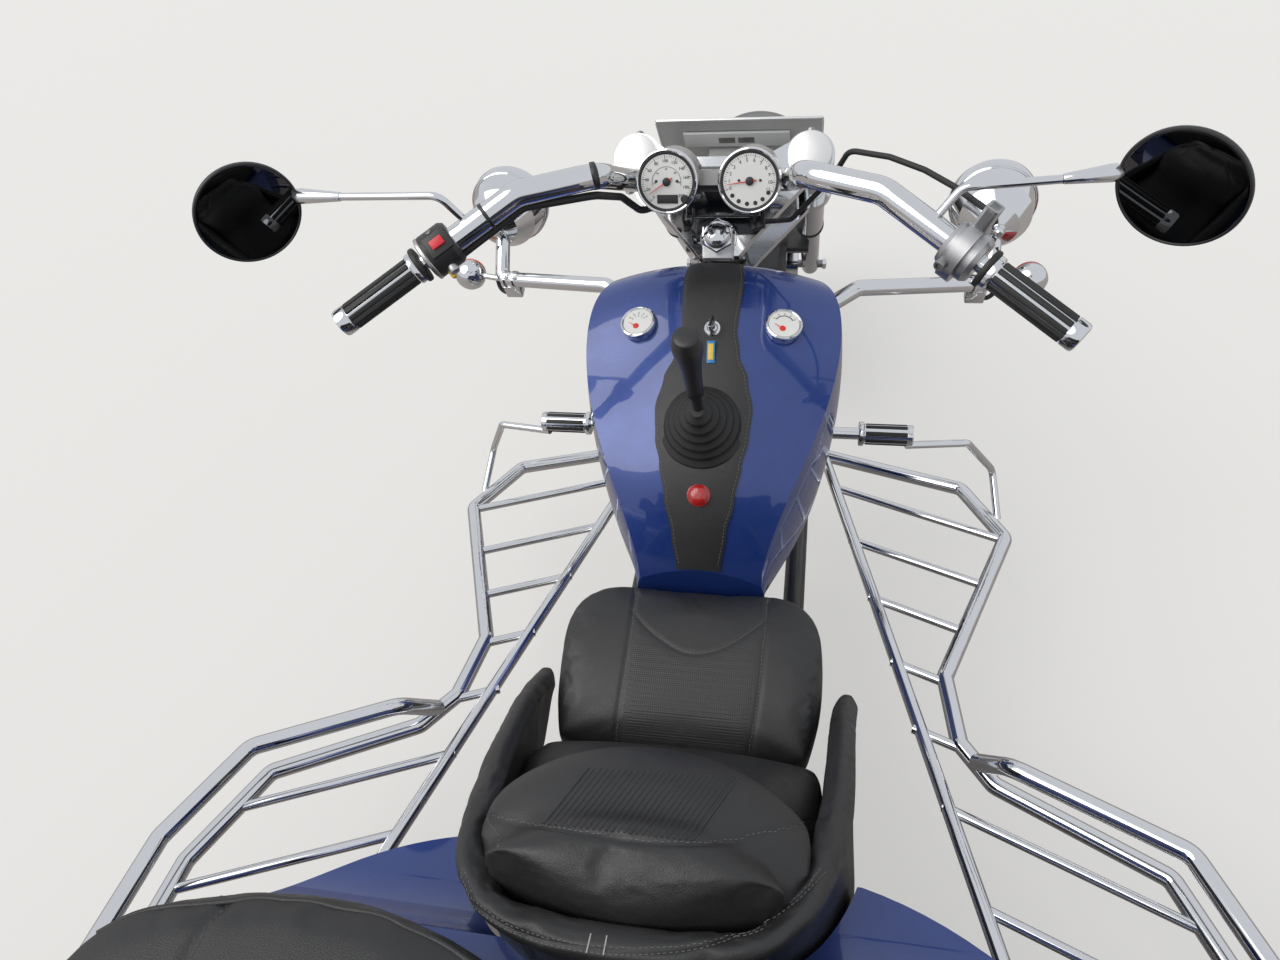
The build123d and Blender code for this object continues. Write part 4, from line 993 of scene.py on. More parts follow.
POD_TILT = radians(20)
POD_X, POD_Y, POD_Z = 61, -507, 1024
POD_WAY = Vector((0, cos(POD_TILT), sin(POD_TILT)))
for side, name in ((1, "speedometer"), (-1, "tachometer")):
    at = mm(side * POD_X, POD_Y, POD_Z)
    bezel = turned(name + "_bezel", [
        (-0.010, 0.0462), (0.0045, 0.0468), (0.0062, 0.0462), (0.0070, 0.0445), (0.0060, 0.0428),
        (0.0045, 0.0424),
    ], at, POD_WAY, sides=72)
    dressed(bezel, CHROME, "fork")
    inner = turned(name + "_inner_ring", [
        (0.0040, 0.0424), (0.0056, 0.0422), (0.0052, 0.0385), (0.0046, 0.0375),
    ], at, POD_WAY, sides=72)
    dressed(inner, INK, "fork")
    face = dial_disc(name + "_dial", 0.0383, 0.0056)
    dressed(stand(face, at, POD_WAY, RIDER_RIGHT), DIAL_WHITE, "fork")
    lift = 0.0060
    marks = []
    count, first, last = (50, 228, -42) if side > 0 else (44, 200, -24)
    places_long, places_short = [], []
    for step in range(count + 1):
        degrees = first + (last - first) * step / count
        long_mark = step % (5 if side > 0 else 4) == 0
        spot = around(0.0352 if long_mark else 0.0360, degrees, lift)
        (places_long if long_mark else places_short).append(spot)
    marks.append(repeated(name + "_long", dial_bar("seed", 0.0008, 0.0048), places_long))
    marks.append(repeated(name + "_short", dial_bar("seed", 0.0004, 0.0030), places_short))
    numbers = range(0, 220, 20) if side > 0 else range(0, 12)
    size = 0.0062 if side > 0 else 0.0070
    marks += dial_figures(name + "_number", numbers, first, last, 0.0295, size, lift)
    if side > 0:
        marks.append(dial_arc(name + "_arc", 0.0215, 195, -15, 0.0005, lift))
        marks += dial_figures(name + "_inner", (20, 40, 60, 80, 100), 185, -3, 0.0180, 0.0036, lift)
    set_on_dial(marks, name + "_marks", INK, at, POD_WAY, "fork")
    swing = 213 if side > 0 else 188
    needle = [dial_needle(name + "_needle", swing, 0.031 if side > 0 else 0.0335, 0.010, 0.0022, 0.0082)]
    set_on_dial(needle, name + "_needle", NEEDLE_RED, at, POD_WAY, "fork")
    hub = [turned(name + "_hub", [
        (0.0056, 0.0062), (0.0082, 0.0060), (0.0092, 0.0046), (0.0095, 0.0015),
    ], sides=32)]
    for x, y in ((-0.0155, 0.001), (0.0155, 0.001)):
        dot = turned("dot", [(0.0050, 0.0021), (0.0066, 0.0019), (0.0068, 0.0004)], sides=20)
        dot.data.transform(Matrix.Translation((x, y, 0)))
        hub.append(dot)
    if side > 0:
        panel = block("panel", (0.031, 0.0125, 0.0022), (0.001, -0.0245, 0.0062), edge=0.0006)
        reset = turned("reset", [(0.0050, 0.0058), (0.0105, 0.0054), (0.0115, 0.0040)], sides=24)
        reset.data.transform(Matrix.Translation((0.0265, -0.0240, 0)))
        hub += [panel, reset]
    else:
        for degrees in (219, 241, 264, 286, 307, 329):
            lamp = turned("lamp", [
                (0.0050, 0.0031), (0.0064, 0.0030), (0.0062, 0.0018), (0.0068, 0.0010),
            ], sides=20)
            lamp.data.transform(around(0.0320, degrees, 0, False))
            hub.append(lamp)
    set_on_dial(hub, name + "_hub", INK, at, POD_WAY, "fork")

TANK_DIAL_R = 0.0238
TANK_DIAL_X, TANK_DIAL_Y, TANK_DIAL_Z = 116, -452, 805
for side, name in ((1, "left"), (-1, "right")):
    at = mm(side * TANK_DIAL_X, TANK_DIAL_Y, TANK_DIAL_Z)
    way = Vector((side * 0.13, 0.30, 0.94)).normalized()
    ringed = turned("tank_dial_bezel_" + name, [
        (-0.002, 0.0285), (0.0060, 0.0292), (0.0082, 0.0284), (0.0090, 0.0265), (0.0078, 0.0246),
        (0.0066, 0.0240),
    ], at, way, sides=56)
    dressed(ringed, CHROME, "chassis")
    dressed(stand(dial_disc("tank_dial_face_" + name, TANK_DIAL_R, 0.0076), at, way, RIDER_RIGHT),
            DIAL_WHITE, "chassis")
    lift = 0.0079
    marks = []
    if side > 0:
        places = [around(0.0160, 150 - 30 * k, lift) for k in range(5)]
        marks.append(repeated("ticks", dial_bar("seed", 0.0011, 0.0040), places))
        marks += dial_figures("number", (0, 1, 2, 3, 4), 150, 30, 0.0108, 0.0044, lift)
    else:
        marks.append(dial_arc("scale", 0.0150, 150, 30, 0.0014, lift, 16))
        places = [around(0.0185, 150 - 30 * k, lift) for k in range(5)]
        marks.append(repeated("ticks", dial_bar("seed", 0.0009, 0.0034), places))
    set_on_dial(marks, "tank_dial_marks_" + name, INK, at, way, "chassis")
    pointer = dial_needle("tank_dial_needle", 150, 0.0150, 0.003, 0.0014, 0.0088)
    centre = turned("hub", [(0.0076, 0.0048), (0.0094, 0.0044), (0.0100, 0.0020)], sides=24)
    low = Matrix.Translation((-0.002, -0.009, 0))
    pointer.data.transform(low)
    centre.data.transform(low)
    set_on_dial([pointer, centre], "tank_dial_needle_" + name, NEEDLE_RED, at, way, "chassis")

# Handlebar, with its places as in the part's source

BAR_BEND = mm(240, -352, 1090)
BAR_END = mm(478, -200, 977)
BAR_KNEE = mm(140, -404, 1088)
BAR_R = 0.0175
BAR_RUN = (BAR_END - BAR_BEND).normalized()
GRIP_FROM = 0.158
GRIP_STRIPS = 10


def sided(side, place):
    return Vector((side * place.x, place.y, place.z))


def bar_spot(side, distance):
    return sided(side, BAR_BEND + BAR_RUN * distance)


for side, name in ((1, "left"), (-1, "right")):
    foot, way = bar_spot(side, GRIP_FROM), sided(side, BAR_RUN)
    flange = turned("grip_flange_" + name, [
        (0.0, 0.019), (0.0, 0.0243), (0.0015, 0.0253), (0.0055, 0.0253), (0.0070, 0.0243),
        (0.0070, 0.019),
    ], foot, way)
    dressed(flange, GRIP_RUBBER, "fork", ("grip_" + name,))
    sleeve = turned("grip_sleeve_" + name, [
        (0.0070, 0.0170), (0.0070, 0.0212), (0.0085, 0.0219), (0.0145, 0.0219), (0.0160, 0.0208),
        (0.0160, 0.0168), (0.1240, 0.0168), (0.1240, 0.0190), (0.1255, 0.0196), (0.1375, 0.0196),
        (0.1408, 0.0184), (0.1420, 0.0150),
    ], foot, way)
    dressed(sleeve, CHROME, "fork")
    strip = block("strip", (0.0074, 0.0042, 0.1060), edge=0.0016, segments=3)
    strips = repeated("grip_strips_" + name, strip, [
        Matrix.Rotation(2 * pi * k / GRIP_STRIPS, 4, "Z") @ Matrix.Translation((0, 0.0172, 0.0700))
        for k in range(GRIP_STRIPS)])
    dressed(smooth(stand(strips, foot, way)), GRIP_RUBBER, "fork")

# Switch housing on the rider's left: rocker, button, tab and end ring

housing_way = sided(1, BAR_RUN)


def on_housing(side, along, towards, out):
    """A place on a housing's skin, and the direction out of it."""
    way = sided(side, BAR_RUN)
    radial = Vector(towards)
    radial = (radial - way * radial.dot(way)).normalized()
    return bar_spot(side, along) + radial * out, radial


ROCKER_WAY = (-0.135, 0.719, 0.682)
place, radial = on_housing(1, 0.1225, ROCKER_WAY, 0.0315)
plate_at = place - radial * 0.002
seat_plate = block("switch_plate", (0.034, 0.030, 0.0060), plate_at, radial, housing_way, 0.0015)
dressed(seat_plate, PLASTIC, "fork")
rocker = block("switch_rocker", (0.019, 0.0125, 0.0060), place + radial * 0.0025, radial, housing_way, 0.0012)
dressed(rocker, SWITCH_RED, "fork")
place, radial = on_housing(1, 0.1270, (-0.49, 0.52, -0.40), 0.0325)
toggle = turned("switch_button", [
    (-0.003, 0.0075), (0.004, 0.0072), (0.0065, 0.0060), (0.0070, 0.0020),
], place, radial)
dressed(toggle, ALLOY, "fork")
place, radial = on_housing(1, 0.1335, (-0.52, 0.36, -0.62), 0.0350)
tab = block("switch_tab", (0.006, 0.017, 0.012), place, radial, housing_way, 0.0020)
dressed(tab, TAG_YELLOW, "fork")
end_ring = turned("switch_end_ring", [
    (0.145, 0.027), (0.145, 0.0305), (0.1465, 0.0315), (0.1500, 0.0312), (0.1515, 0.0270),
], bar_spot(1, 0), housing_way)
dressed(end_ring, BRUSHED, "fork")
screws = []
for side, name, angles in ((1, "left", (40, 200)), (-1, "right", (60, 230))):
    way = sided(side, BAR_RUN)
    start = way.orthogonal().normalized()
    for a in angles:
        out = Matrix.Rotation(radians(a), 3, way) @ start
        head = turned("screw", [
            (0, 0.0042), (0.0022, 0.0040), (0.0026, 0.0030), (0.0014, 0.0022),
        ], bar_spot(side, 0.125) + out * 0.0302, out, sides=20)
        screws.append(head)
dressed(joined("housing_screws", screws), STEEL, "fork")

# Throttle housing on the rider's right: a flat ring, a cable block and a screw eye

throttle_way = sided(-1, BAR_RUN)
collar = turned("throttle_collar", [
    (0.116, 0.030), (0.1165, 0.0385), (0.1185, 0.0400), (0.1315, 0.0400), (0.1335, 0.0385),
    (0.134, 0.030),
], bar_spot(-1, 0), throttle_way, sides=64)
dressed(collar, ALLOY, "fork")
place, radial = on_housing(-1, 0.1255, (-0.45, 0.10, 0.85), 0.0440)
cable_block = block("throttle_cable_block", (0.018, 0.024, 0.046), place, radial, throttle_way, 0.0035, 3)
dressed(cable_block, ALLOY, "fork")
place, radial = on_housing(-1, 0.1180, (0.556, 0.83, -0.054), 0.0380)
eye = turned("throttle_screw_eye", [
    (-0.006, 0.0065), (0.008, 0.0068), (0.0095, 0.0060), (0.0095, 0.0035), (0.0060, 0.0030),
], place, radial, sides=32)
dressed(eye, STEEL, "fork")

# Ties round the bar

ties = []
for number, (start, way) in enumerate((
        (bar_spot(1, 0.050), sided(1, BAR_RUN)), (BAR_KNEE.lerp(BAR_BEND, 0.02), BAR_BEND - BAR_KNEE))):
    tie = turned("tie", [
        (-0.0028, BAR_R - 0.001), (-0.0026, BAR_R + 0.0012), (0.0026, BAR_R + 0.0012),
        (0.0028, BAR_R - 0.001),
    ], start, way)
    out = Vector((0, -0.5, -1))
    out = (out - way.normalized() * out.dot(way.normalized())).normalized()
    lock_block = block("tie_lock", (0.0065, 0.0050, 0.0060), start + out * (BAR_R + 0.002), out, way, 0.0008)
    ties += [tie, lock_block]
dressed(joined("cable_ties", ties), PLASTIC, "fork")

# Mirrors

MIRROR_TABLE = (
    # name, centre, way, stem foot, knee, cone start, rim
    ("left", mm(600, -284, 1101), (-0.676, 0.735, -0.047), mm(301, -313, 1068), mm(330, -306, 1113),
     mm(478, -322, 1104), mm(548, -330, 1101)),
    ("right", mm(-559, -291, 1123), (0.542, 0.839, -0.050), mm(-300, -314, 1069), mm(-330, -326, 1108),
     mm(-440, -322, 1119), mm(-499, -329, 1123)),
)
for name, centre, way, foot, knee, cone_start, rim_spot in MIRROR_TABLE:
    way = Vector(way).normalized()
    shell = turned("mirror_shell_" + name, [
        (-0.024, 0.020), (-0.022, 0.034), (-0.017, 0.052), (-0.010, 0.0655), (-0.003, 0.0705),
        (0.001, 0.0710), (0.0030, 0.0700), (0.0034, 0.0680), (0.0015, 0.0668),
    ], centre, way, sides=72, degrees=50)
    dressed(shell, PLASTIC, "fork", ("mirror_" + name,))
    # The glass reflects, but its finish is darkened: painted dark reflection of the black seats.
    glass = turned("mirror_glass_" + name, [
        (0.0008, 0.0670), (0.0022, 0.0670), (0.0024, 0.0655), (0.0025, 0.002),
    ], centre, way, sides=72)
    dressed(glass, MIRROR_GLASS_PAINTED_DARK, "fork")
    stem = wire("mirror_stem_" + name, [tuple(p) for p in (
        foot, foot.lerp(knee, 0.5), knee, knee.lerp(cone_start, 0.2), cone_start)], 0.0105, sides=16)
    dressed(stem, CHROME, "fork")
    reach = (rim_spot - cone_start).length
    cone = turned("mirror_cone_" + name, [
        (0.0, 0.0053), (0.002, 0.0062), (reach * 0.6, 0.0090), (reach * 0.9, 0.0105), (reach, 0.0100),
        (reach + 0.008, 0.0060),
    ], cone_start, rim_spot - cone_start, sides=32)
    dressed(cone, CHROME, "fork")
    nut = turned("mirror_nut_" + name, [
        (-0.006, 0.0100), (0.006, 0.0100), (0.008, 0.0085), (0.012, 0.0062),
    ], foot, knee - foot, sides=6)
    dressed(nut, CHROME, "fork")

# Small pieces of the fork: caps, head nut, riser panel, bar clamp and bolts

RAKE = radians(47)
FORK_UP = Vector((0, sin(RAKE), cos(RAKE)))
FORK_BACK = Vector((0, cos(RAKE), -sin(RAKE)))
ACROSS = Vector((1, 0, 0))
HEAD_NUT_Y, HEAD_NUT_Z = -585, 888
LEG_X = 143
LEG_FORWARD = 135
LEG_TOP = 14
LEG_LONG = 963.4
SEAL_SHARE = 0.52


def fork_spot(x, forward, down):
    """A point from the head nut, in millimetres, as in the part's source."""
    return mm(x, HEAD_NUT_Y, HEAD_NUT_Z) - FORK_BACK * forward / 1000 - FORK_UP * down / 1000


def hex_bolt(name, origin, way, wide=0.012, tall=0.006, washer=0.0):
    """A bolt head with its washer, standing along a way."""
    steps = [(0.0, wide * 0.52), (tall * 0.85, wide * 0.52), (tall, wide * 0.43)]
    head = turned(name, steps, origin, way, sides=6, degrees=20)
    if washer:
        under = turned(name, [
            (-0.0004, washer), (0.0014, washer), (0.0018, washer * 0.93),
        ], origin, way, sides=28)
        head = joined(name, [head, under])
    return head


for side, name in ((1, "left"), (-1, "right")):
    cap = turned("fork_cap_" + name, [
        (-0.012, 0.0350), (-0.0015, 0.0354), (0.0005, 0.0346), (0.0012, 0.0330), (0.0013, 0.0040),
    ], fork_spot(side * LEG_X, LEG_FORWARD, LEG_TOP), FORK_UP, sides=64)
    dressed(cap, MACHINED, "fork")
    gaiter = turned("fork_seal_" + name, [
        (-0.004, 0.0232), (-0.004, 0.0290), (0.010, 0.0292), (0.012, 0.0270), (0.012, 0.0230),
    ], fork_spot(side * LEG_X, LEG_FORWARD, LEG_TOP + SEAL_SHARE * LEG_LONG), -FORK_UP, sides=48)
    dressed(gaiter, GRIP_RUBBER, "fork")

washer = turned("head_washer", [(0.0, 0.030), (0.003, 0.030), (0.004, 0.029)], fork_spot(0, 0, 29), FORK_UP)
nut = turned("head_nut", [
    (0.0, 0.0285), (0.022, 0.0285), (0.0255, 0.0262),
], fork_spot(0, 0, 26), FORK_UP, sides=6, degrees=20)
dome = turned("head_dome", [
    (0.0, 0.0225), (0.004, 0.0225), (0.009, 0.0208), (0.0135, 0.0170), (0.0165, 0.0110),
    (0.0175, 0.0040),
], fork_spot(0, 0, 1), FORK_UP)
dressed(joined("head_nut", [washer, nut, dome]), CHROME, "fork")
saddle = block("head_saddle", (0.052, 0.036, 0.020), fork_spot(0, -17, 32), FORK_UP, ACROSS, 0.003, 3)
dressed(saddle, ALLOY, "fork")

PANEL_SPOT = mm(-12, -590, 942)
PANEL_WAY = Vector((0, 0.62, 0.78)).normalized()
panel = block("riser_panel", (0.118, 0.046, 0.008), PANEL_SPOT, PANEL_WAY, ACROSS, 0.0025, 3)
dressed(panel, PANEL_GLOSS, "fork")
keyhole_parts = []
for x, radius in ((41, 0.0066), (-9, 0.0048)):
    spot = PANEL_SPOT + ACROSS * (x / 1000) + PANEL_WAY.cross(ACROSS) * -0.012 + PANEL_WAY * 0.004
    ringed = turned("lock_ring", [
        (-0.001, radius), (0.0014, radius), (0.0018, radius * 0.85), (0.0010, radius * 0.7),
    ], spot, PANEL_WAY, sides=28)
    spot = spot + PANEL_WAY * 0.0014
    slot_mark = block("lock_slot", (0.0012, radius, 0.0008), spot, PANEL_WAY, ACROSS, 0.0002, 1)
    keyhole_parts += [ringed, slot_mark]
dressed(joined("riser_panel_locks", keyhole_parts), STEEL, "fork")

bar_clamp = turned("riser_clamp_bar", [
    (-0.030, 0.0150), (-0.030, 0.0215), (-0.016, 0.0215), (-0.015, 0.0185), (0.015, 0.0185),
    (0.016, 0.0215), (0.030, 0.0215), (0.030, 0.0150),
], mm(2, -558, 1000), ACROSS, sides=56)
dressed(bar_clamp, DARK_STEEL, "fork")

for side, name in ((1, "left"), (-1, "right")):
    saddle_at = mm(side * 60, -618, 966)
    riser_cap = turned("riser_cap_" + name, [
        (-0.0205, 0.0200), (-0.0205, 0.0262), (-0.0185, 0.0275), (0.0185, 0.0275), (0.0205, 0.0262),
        (0.0205, 0.0200),
    ], saddle_at, ACROSS, sides=56)
    dressed(riser_cap, DARK_STEEL, "fork")
    bolts = [hex_bolt("bolt", saddle_at + ACROSS * x + FORK_UP * 0.0268, FORK_UP, 0.009, 0.005, 0.0062)
             for x in (-0.011, 0.011)]
    dressed(joined("riser_bolts_" + name, bolts), STEEL, "fork")

yoke_bolts = []
for down, side in ((44, 1), (44, -1), (230, 1), (230, -1)):
    spot = fork_spot(side * LEG_X, 177, down)
    yoke_bolts.append(hex_bolt("bolt", spot, -FORK_BACK, 0.011, 0.006, 0.0085))
    spot = fork_spot(side * 40, 0, down) + FORK_BACK * 0.0265
    yoke_bolts.append(hex_bolt("bolt", spot, FORK_BACK, 0.009, 0.005))
dressed(joined("yoke_bolts", yoke_bolts), STEEL, "fork")

knobs = []
for side in (1, -1):
    foot = fork_spot(side * 165, 135, 220)
    knobs.append(turned("knob", [
        (0.0, 0.0085), (0.014, 0.0085), (0.0145, 0.0060), (0.020, 0.0062), (0.022, 0.0092),
        (0.026, 0.0115), (0.031, 0.0118), (0.036, 0.0098), (0.039, 0.0050),
    ], foot, (side, 0, 0), sides=32))
dressed(joined("fork_pinch_knobs", knobs), CHROME, "fork")

LOOSE_WIRES = (
    # route, thickness
    ((44, -545, 962), (52, -560, 930), (48, -580, 905), (38, -592, 886), 0.0052),
    ((30, -548, 958), (34, -566, 925), (44, -575, 902), (30, -590, 880), 0.0044),
    ((-58, -550, 962), (-66, -566, 930), (-60, -584, 905), (-62, -602, 888), 0.0052),
    ((-74, -548, 968), (-80, -560, 935), (-70, -580, 908), (-76, -606, 892), 0.0044),
)
wires = [wire("wire", [tuple(mm(*spot)) for spot in row[:-1]], row[-1]) for row in LOOSE_WIRES]
for x, y, z in ((46, -574, 911), (-62, -580, 909), (-72, -574, 916)):
    wires.append(block("plug", (0.013, 0.017, 0.011), mm(x, y, z), (0.15, 0.6, 0.8), (1, 0.2, 0), 0.0015))
dressed(joined("head_wires", wires), PLASTIC, "fork")

# Number plate, blank: folded edge, bracket band and bolts

PLATE_TOP = mm(-10, -872, 950)
PLATE_LEAN = radians(35)
PLATE_DOWN = Vector((0, -sin(PLATE_LEAN), -cos(PLATE_LEAN)))
PLATE_OUT = Vector((0, -cos(PLATE_LEAN), sin(PLATE_LEAN)))
PLATE_W = 0.305
PLATE_H = 0.150
PLATE_BOLT_X = 0.050
PLATE_BOLT_DOWN = 0.060
spot = PLATE_TOP + PLATE_DOWN * 0.0012 + PLATE_OUT * 0.0012
folds = [block("fold", (PLATE_W - 0.006, 0.0052, 0.0052), spot, PLATE_OUT, ACROSS, 0.0014)]
for side in (1, -1):
    spot = PLATE_TOP + ACROSS * side * (PLATE_W / 2 - 0.002) + PLATE_DOWN * PLATE_H / 2 + PLATE_OUT * 0.0012
    folds.append(block("fold", (0.0040, PLATE_H - 0.010, 0.0048), spot, PLATE_OUT, ACROSS, 0.0012))
dressed(joined("plate_folded_edge", folds), MACHINED, "fork")
band_spot = PLATE_TOP + ACROSS * 0.006 + PLATE_DOWN * PLATE_BOLT_DOWN - PLATE_OUT * 0.0035
bracket = block("plate_bracket", (0.196, 0.046, 0.005), band_spot, -PLATE_OUT, ACROSS, 0.0012)
dressed(bracket, PALE_BRACKET, "fork")
slots = []
for x in (0.018, -0.018):
    spot = band_spot - PLATE_OUT * 0.0028 + ACROSS * x
    slots.append(block("slot", (0.030, 0.018, 0.0012), spot, -PLATE_OUT, ACROSS, 0.0003))
dressed(joined("plate_bracket_slots", slots), DARK_STEEL, "fork")
plate_bolts = []
for x in (-PLATE_BOLT_X, PLATE_BOLT_X):
    spot = PLATE_TOP + ACROSS * x + PLATE_DOWN * PLATE_BOLT_DOWN + PLATE_OUT * 0.003
    plate_bolts.append(hex_bolt("bolt", spot, PLATE_OUT, 0.010, 0.005, 0.0075))
dressed(joined("plate_bolts", plate_bolts), STEEL, "fork")

# Headlamps, their clamps and leads, and the indicators

LAMP_X, LAMP_Z = 495, 722
LAMP_FACE_Y, LAMP_BACK_Y = -998, -880
BAR_CORNER_X, BAR_CORNER_Y, BAR_CORNER_Z = 487, -826, 640
INDICATOR_X, INDICATOR_Y, INDICATOR_Z = 562, -838, 640
FLUTE_PITCH = 6.6
LEAD_X = 490
LEAD_ROUTE = ((6, -872, 690), (12, -850, 655), (16, -838, 612), (-4, -832, 598), (-22, -828, 618),
              (-26, -822, 646))
LEAD_THICK = 0.009
for side, name in ((1, "left"), (-1, "right")):
    face = mm(side * LAMP_X, LAMP_FACE_Y, LAMP_Z)
    ringed = lathed("headlamp_bezel_" + name, [
        (-0.004, 0.0700), (-0.0052, 0.0760), (-0.0030, 0.0812), (0.0040, 0.0828), (0.0220, 0.0828),
        (0.0245, 0.0812), (0.0200, 0.0760), (0.004, 0.0700),
    ], face, (0, 1, 0), 80)
    dressed(ringed, CHROME, "chassis")
    lens_glass = turned("headlamp_lens_" + name, [
        (0.0, 0.0715), (-0.0025, 0.0690), (-0.0060, 0.0560), (-0.0085, 0.0360), (-0.0098, 0.0100),
    ], face, (0, 1, 0), sides=72, degrees=60)
    dressed(lens_glass, LAMP_GLASS, "chassis")
    flutes = []
    for k in range(-8, 9):
        spot = face + mm(k * FLUTE_PITCH, -6.2 + 0.09 * k * k, 0)
        high = 0.050 + 0.080 * (1 - abs(k) / 9)
        flutes.append(block("flute", (0.0016, 0.0012, high), spot, (0, 0, 1), ACROSS, 0.0004, 1))
    dressed(joined("headlamp_flutes_" + name, flutes), LAMP_GLASS, "chassis")
    shell_nut = turned("headlamp_nut_" + name, [
        (0.0, 0.0130), (0.004, 0.0130), (0.006, 0.0100), (0.014, 0.0085), (0.017, 0.0060),
    ], mm(side * LAMP_X, LAMP_BACK_Y, LAMP_Z), (0, 1, 0), sides=40)
    dressed(shell_nut, CHROME, "chassis")
    corner = mm(side * BAR_CORNER_X, BAR_CORNER_Y, BAR_CORNER_Z)
    clamps = []
    for offset in (0.012, 0.034):
        spot = corner + Vector((-side * 0.944, 0.329, 0.168)) * offset
        clamps.append(lathed("clamp", [
            (-0.0028, 0.0148), (-0.0028, 0.0178), (0.0028, 0.0178), (0.0028, 0.0148),
        ], spot, (-side * 0.93, 0.324, 0.166), 40))
        head = spot + Vector((0, 0.012, 0.013))
        clamps.append(hex_bolt("bolt", head, (0, 0.68, 0.73), 0.010, 0.007, 0.0070))
    spot = corner + Vector((-side * 0.022, 0.002, -0.022))
    clamps.append(block("clamp_plate", (0.036, 0.024, 0.034), spot, (0, 0.3, 0.95), (side, 0, 0), 0.003))
    dressed(joined("lamp_clamps_" + name, clamps), CHROME, "chassis")
    route = [tuple(mm(side * (LEAD_X + x), y, z)) for x, y, z in LEAD_ROUTE]
    lead = wire("lamp_lead_" + name, route, LEAD_THICK, sides=12)
    dressed(lead, GRIP_RUBBER, "chassis")
    spot = mm(side * INDICATOR_X, INDICATOR_Y, INDICATOR_Z)
    bullet = turned("indicator_bullet_" + name, [
        (-0.0120, 0.0290), (-0.0100, 0.0318), (-0.0040, 0.0325), (0.0040, 0.0322), (0.0120, 0.0285),
        (0.0190, 0.0220), (0.0240, 0.0130), (0.0262, 0.0050),
    ], spot, (0, 1, 0), sides=56, degrees=60)
    dressed(bullet, CHROME, "chassis", ("indicator_" + name,))
    lens_dome = turned("indicator_lens_" + name, [
        (-0.0118, 0.0300), (-0.0150, 0.0305), (-0.0190, 0.0290), (-0.0240, 0.0235), (-0.0280, 0.0130),
        (-0.0296, 0.0040),
    ], spot, (0, 1, 0), sides=56, degrees=60)
    dressed(lens_dome, RED_LENS if side < 0 else AMBER_LENS, "chassis")
    stalk_line = [tuple(spot - ACROSS * side * 0.025), tuple(corner)]
    stalk = wire("indicator_stalk_" + name, stalk_line, 0.0125, kind="POLY", sides=16)
    dressed(stalk, CHROME, "chassis")

# Foot pegs: black strips between a chrome collar and a chrome end

PEG_X, PEG_Y, PEG_Z = 253, -532, 508
PEG_STRIPS = 8
for side, name in ((1, "left"), (-1, "right")):
    foot, way = mm(side * PEG_X, PEG_Y, PEG_Z), Vector((side, 0, 0))
    peg = turned("foot_peg_" + name, [
        (0.0, 0.0140), (0.0, 0.0215), (0.0015, 0.0222), (0.0080, 0.0222), (0.0095, 0.0205),
        (0.0100, 0.0165), (0.0870, 0.0165), (0.0875, 0.0190), (0.0945, 0.0190), (0.0965, 0.0175),
        (0.0970, 0.0080),
    ], foot, way)
    dressed(peg, CHROME, "chassis")
    strip = block("strip", (0.0078, 0.0046, 0.0740), edge=0.0016, segments=3)
    strips = repeated("foot_peg_strips_" + name, strip, [
        Matrix.Rotation(2 * pi * k / PEG_STRIPS, 4, "Z") @ Matrix.Translation((0, 0.0171, 0.0490))
        for k in range(PEG_STRIPS)])
    dressed(smooth(stand(strips, foot, way)), GRIP_RUBBER, "chassis")

# Wheels: treads, hub caps, nuts and valves


def tread(name, centre, radius, half, bead, rows, around_count):
    """A grooved road tyre: a carcass with side-wall rings, and ribs of blocks over it.

    Each row lists x, tread height under the crown, tilt in degrees, block width and skew in degrees.
    """
    high = radius - bead
    outer = [(0.80, 0.0), (0.86, 0.03), (0.94, 0.16), (0.955, 0.17), (0.97, 0.24), (0.985, 0.36),
             (0.998, 0.47), (0.99, 0.55), (0.985, 0.56), (0.955, 0.70), (0.90, 0.80), (0.80, 0.865),
             (0.55, 0.93), (0.20, 0.948)]
    section = [(x * half, bead + z * high) for x, z in outer]
    section += [(-x, r) for x, r in reversed(section)]
    section += [(-0.72 * half, bead + 0.012), (0.72 * half, bead + 0.012)]
    carcass = lathed(name, section, centre, (1, 0, 0), 96)
    pieces = [carcass]
    pitch = 2 * pi * radius / around_count
    for x, under, tilt, wide, skew in rows:
        lug = block("lug", (wide, pitch * 0.80, 0.011), edge=0.0011, segments=1)
        lug.data.transform(Matrix.Rotation(radians(tilt), 4, "Y") @ Matrix.Rotation(radians(skew), 4, "Z"))
        lug.data.transform(Matrix.Translation((x, 0, radius - under - 0.0055)))
        phase = 0.5 if skew < 0 else 0.0
        pieces.append(repeated("row", lug, [
            Matrix.Rotation(2 * pi * (k + phase) / around_count, 4, "X") for k in range(around_count)]))
        pieces[-1].data.transform(Matrix.Translation(centre))
    return smooth(joined(name, pieces), 35)


FRONT_WHEEL = mm(0, -1391, 320)
FRONT_R, FRONT_HALF, FRONT_BEAD = 0.320, 0.075, 0.206
FRONT_ROWS = (
    (0.000, 0.0004, 0, 0.020, 0), (0.025, 0.0012, 3, 0.018, 14), (-0.025, 0.0012, -3, 0.018, -14),
    (0.049, 0.0052, 12, 0.020, 22), (-0.049, 0.0052, -12, 0.020, -22),
)
front_tread = tread("front_tyre_tread", FRONT_WHEEL, FRONT_R, FRONT_HALF, FRONT_BEAD, FRONT_ROWS, 64)
dressed(front_tread, TYRE_RUBBER, "front_wheel", ("front_tyre",))
REAR_HUB_X, REAR_HUB_Y, REAR_HUB_Z = 742, 1205, 330
REAR_R, REAR_HALF, REAR_BEAD = 0.330, 0.1425, 0.193
HUB_OUT = 0.088
WHEEL_NUTS = 5
WHEEL_NUT_R = 0.043
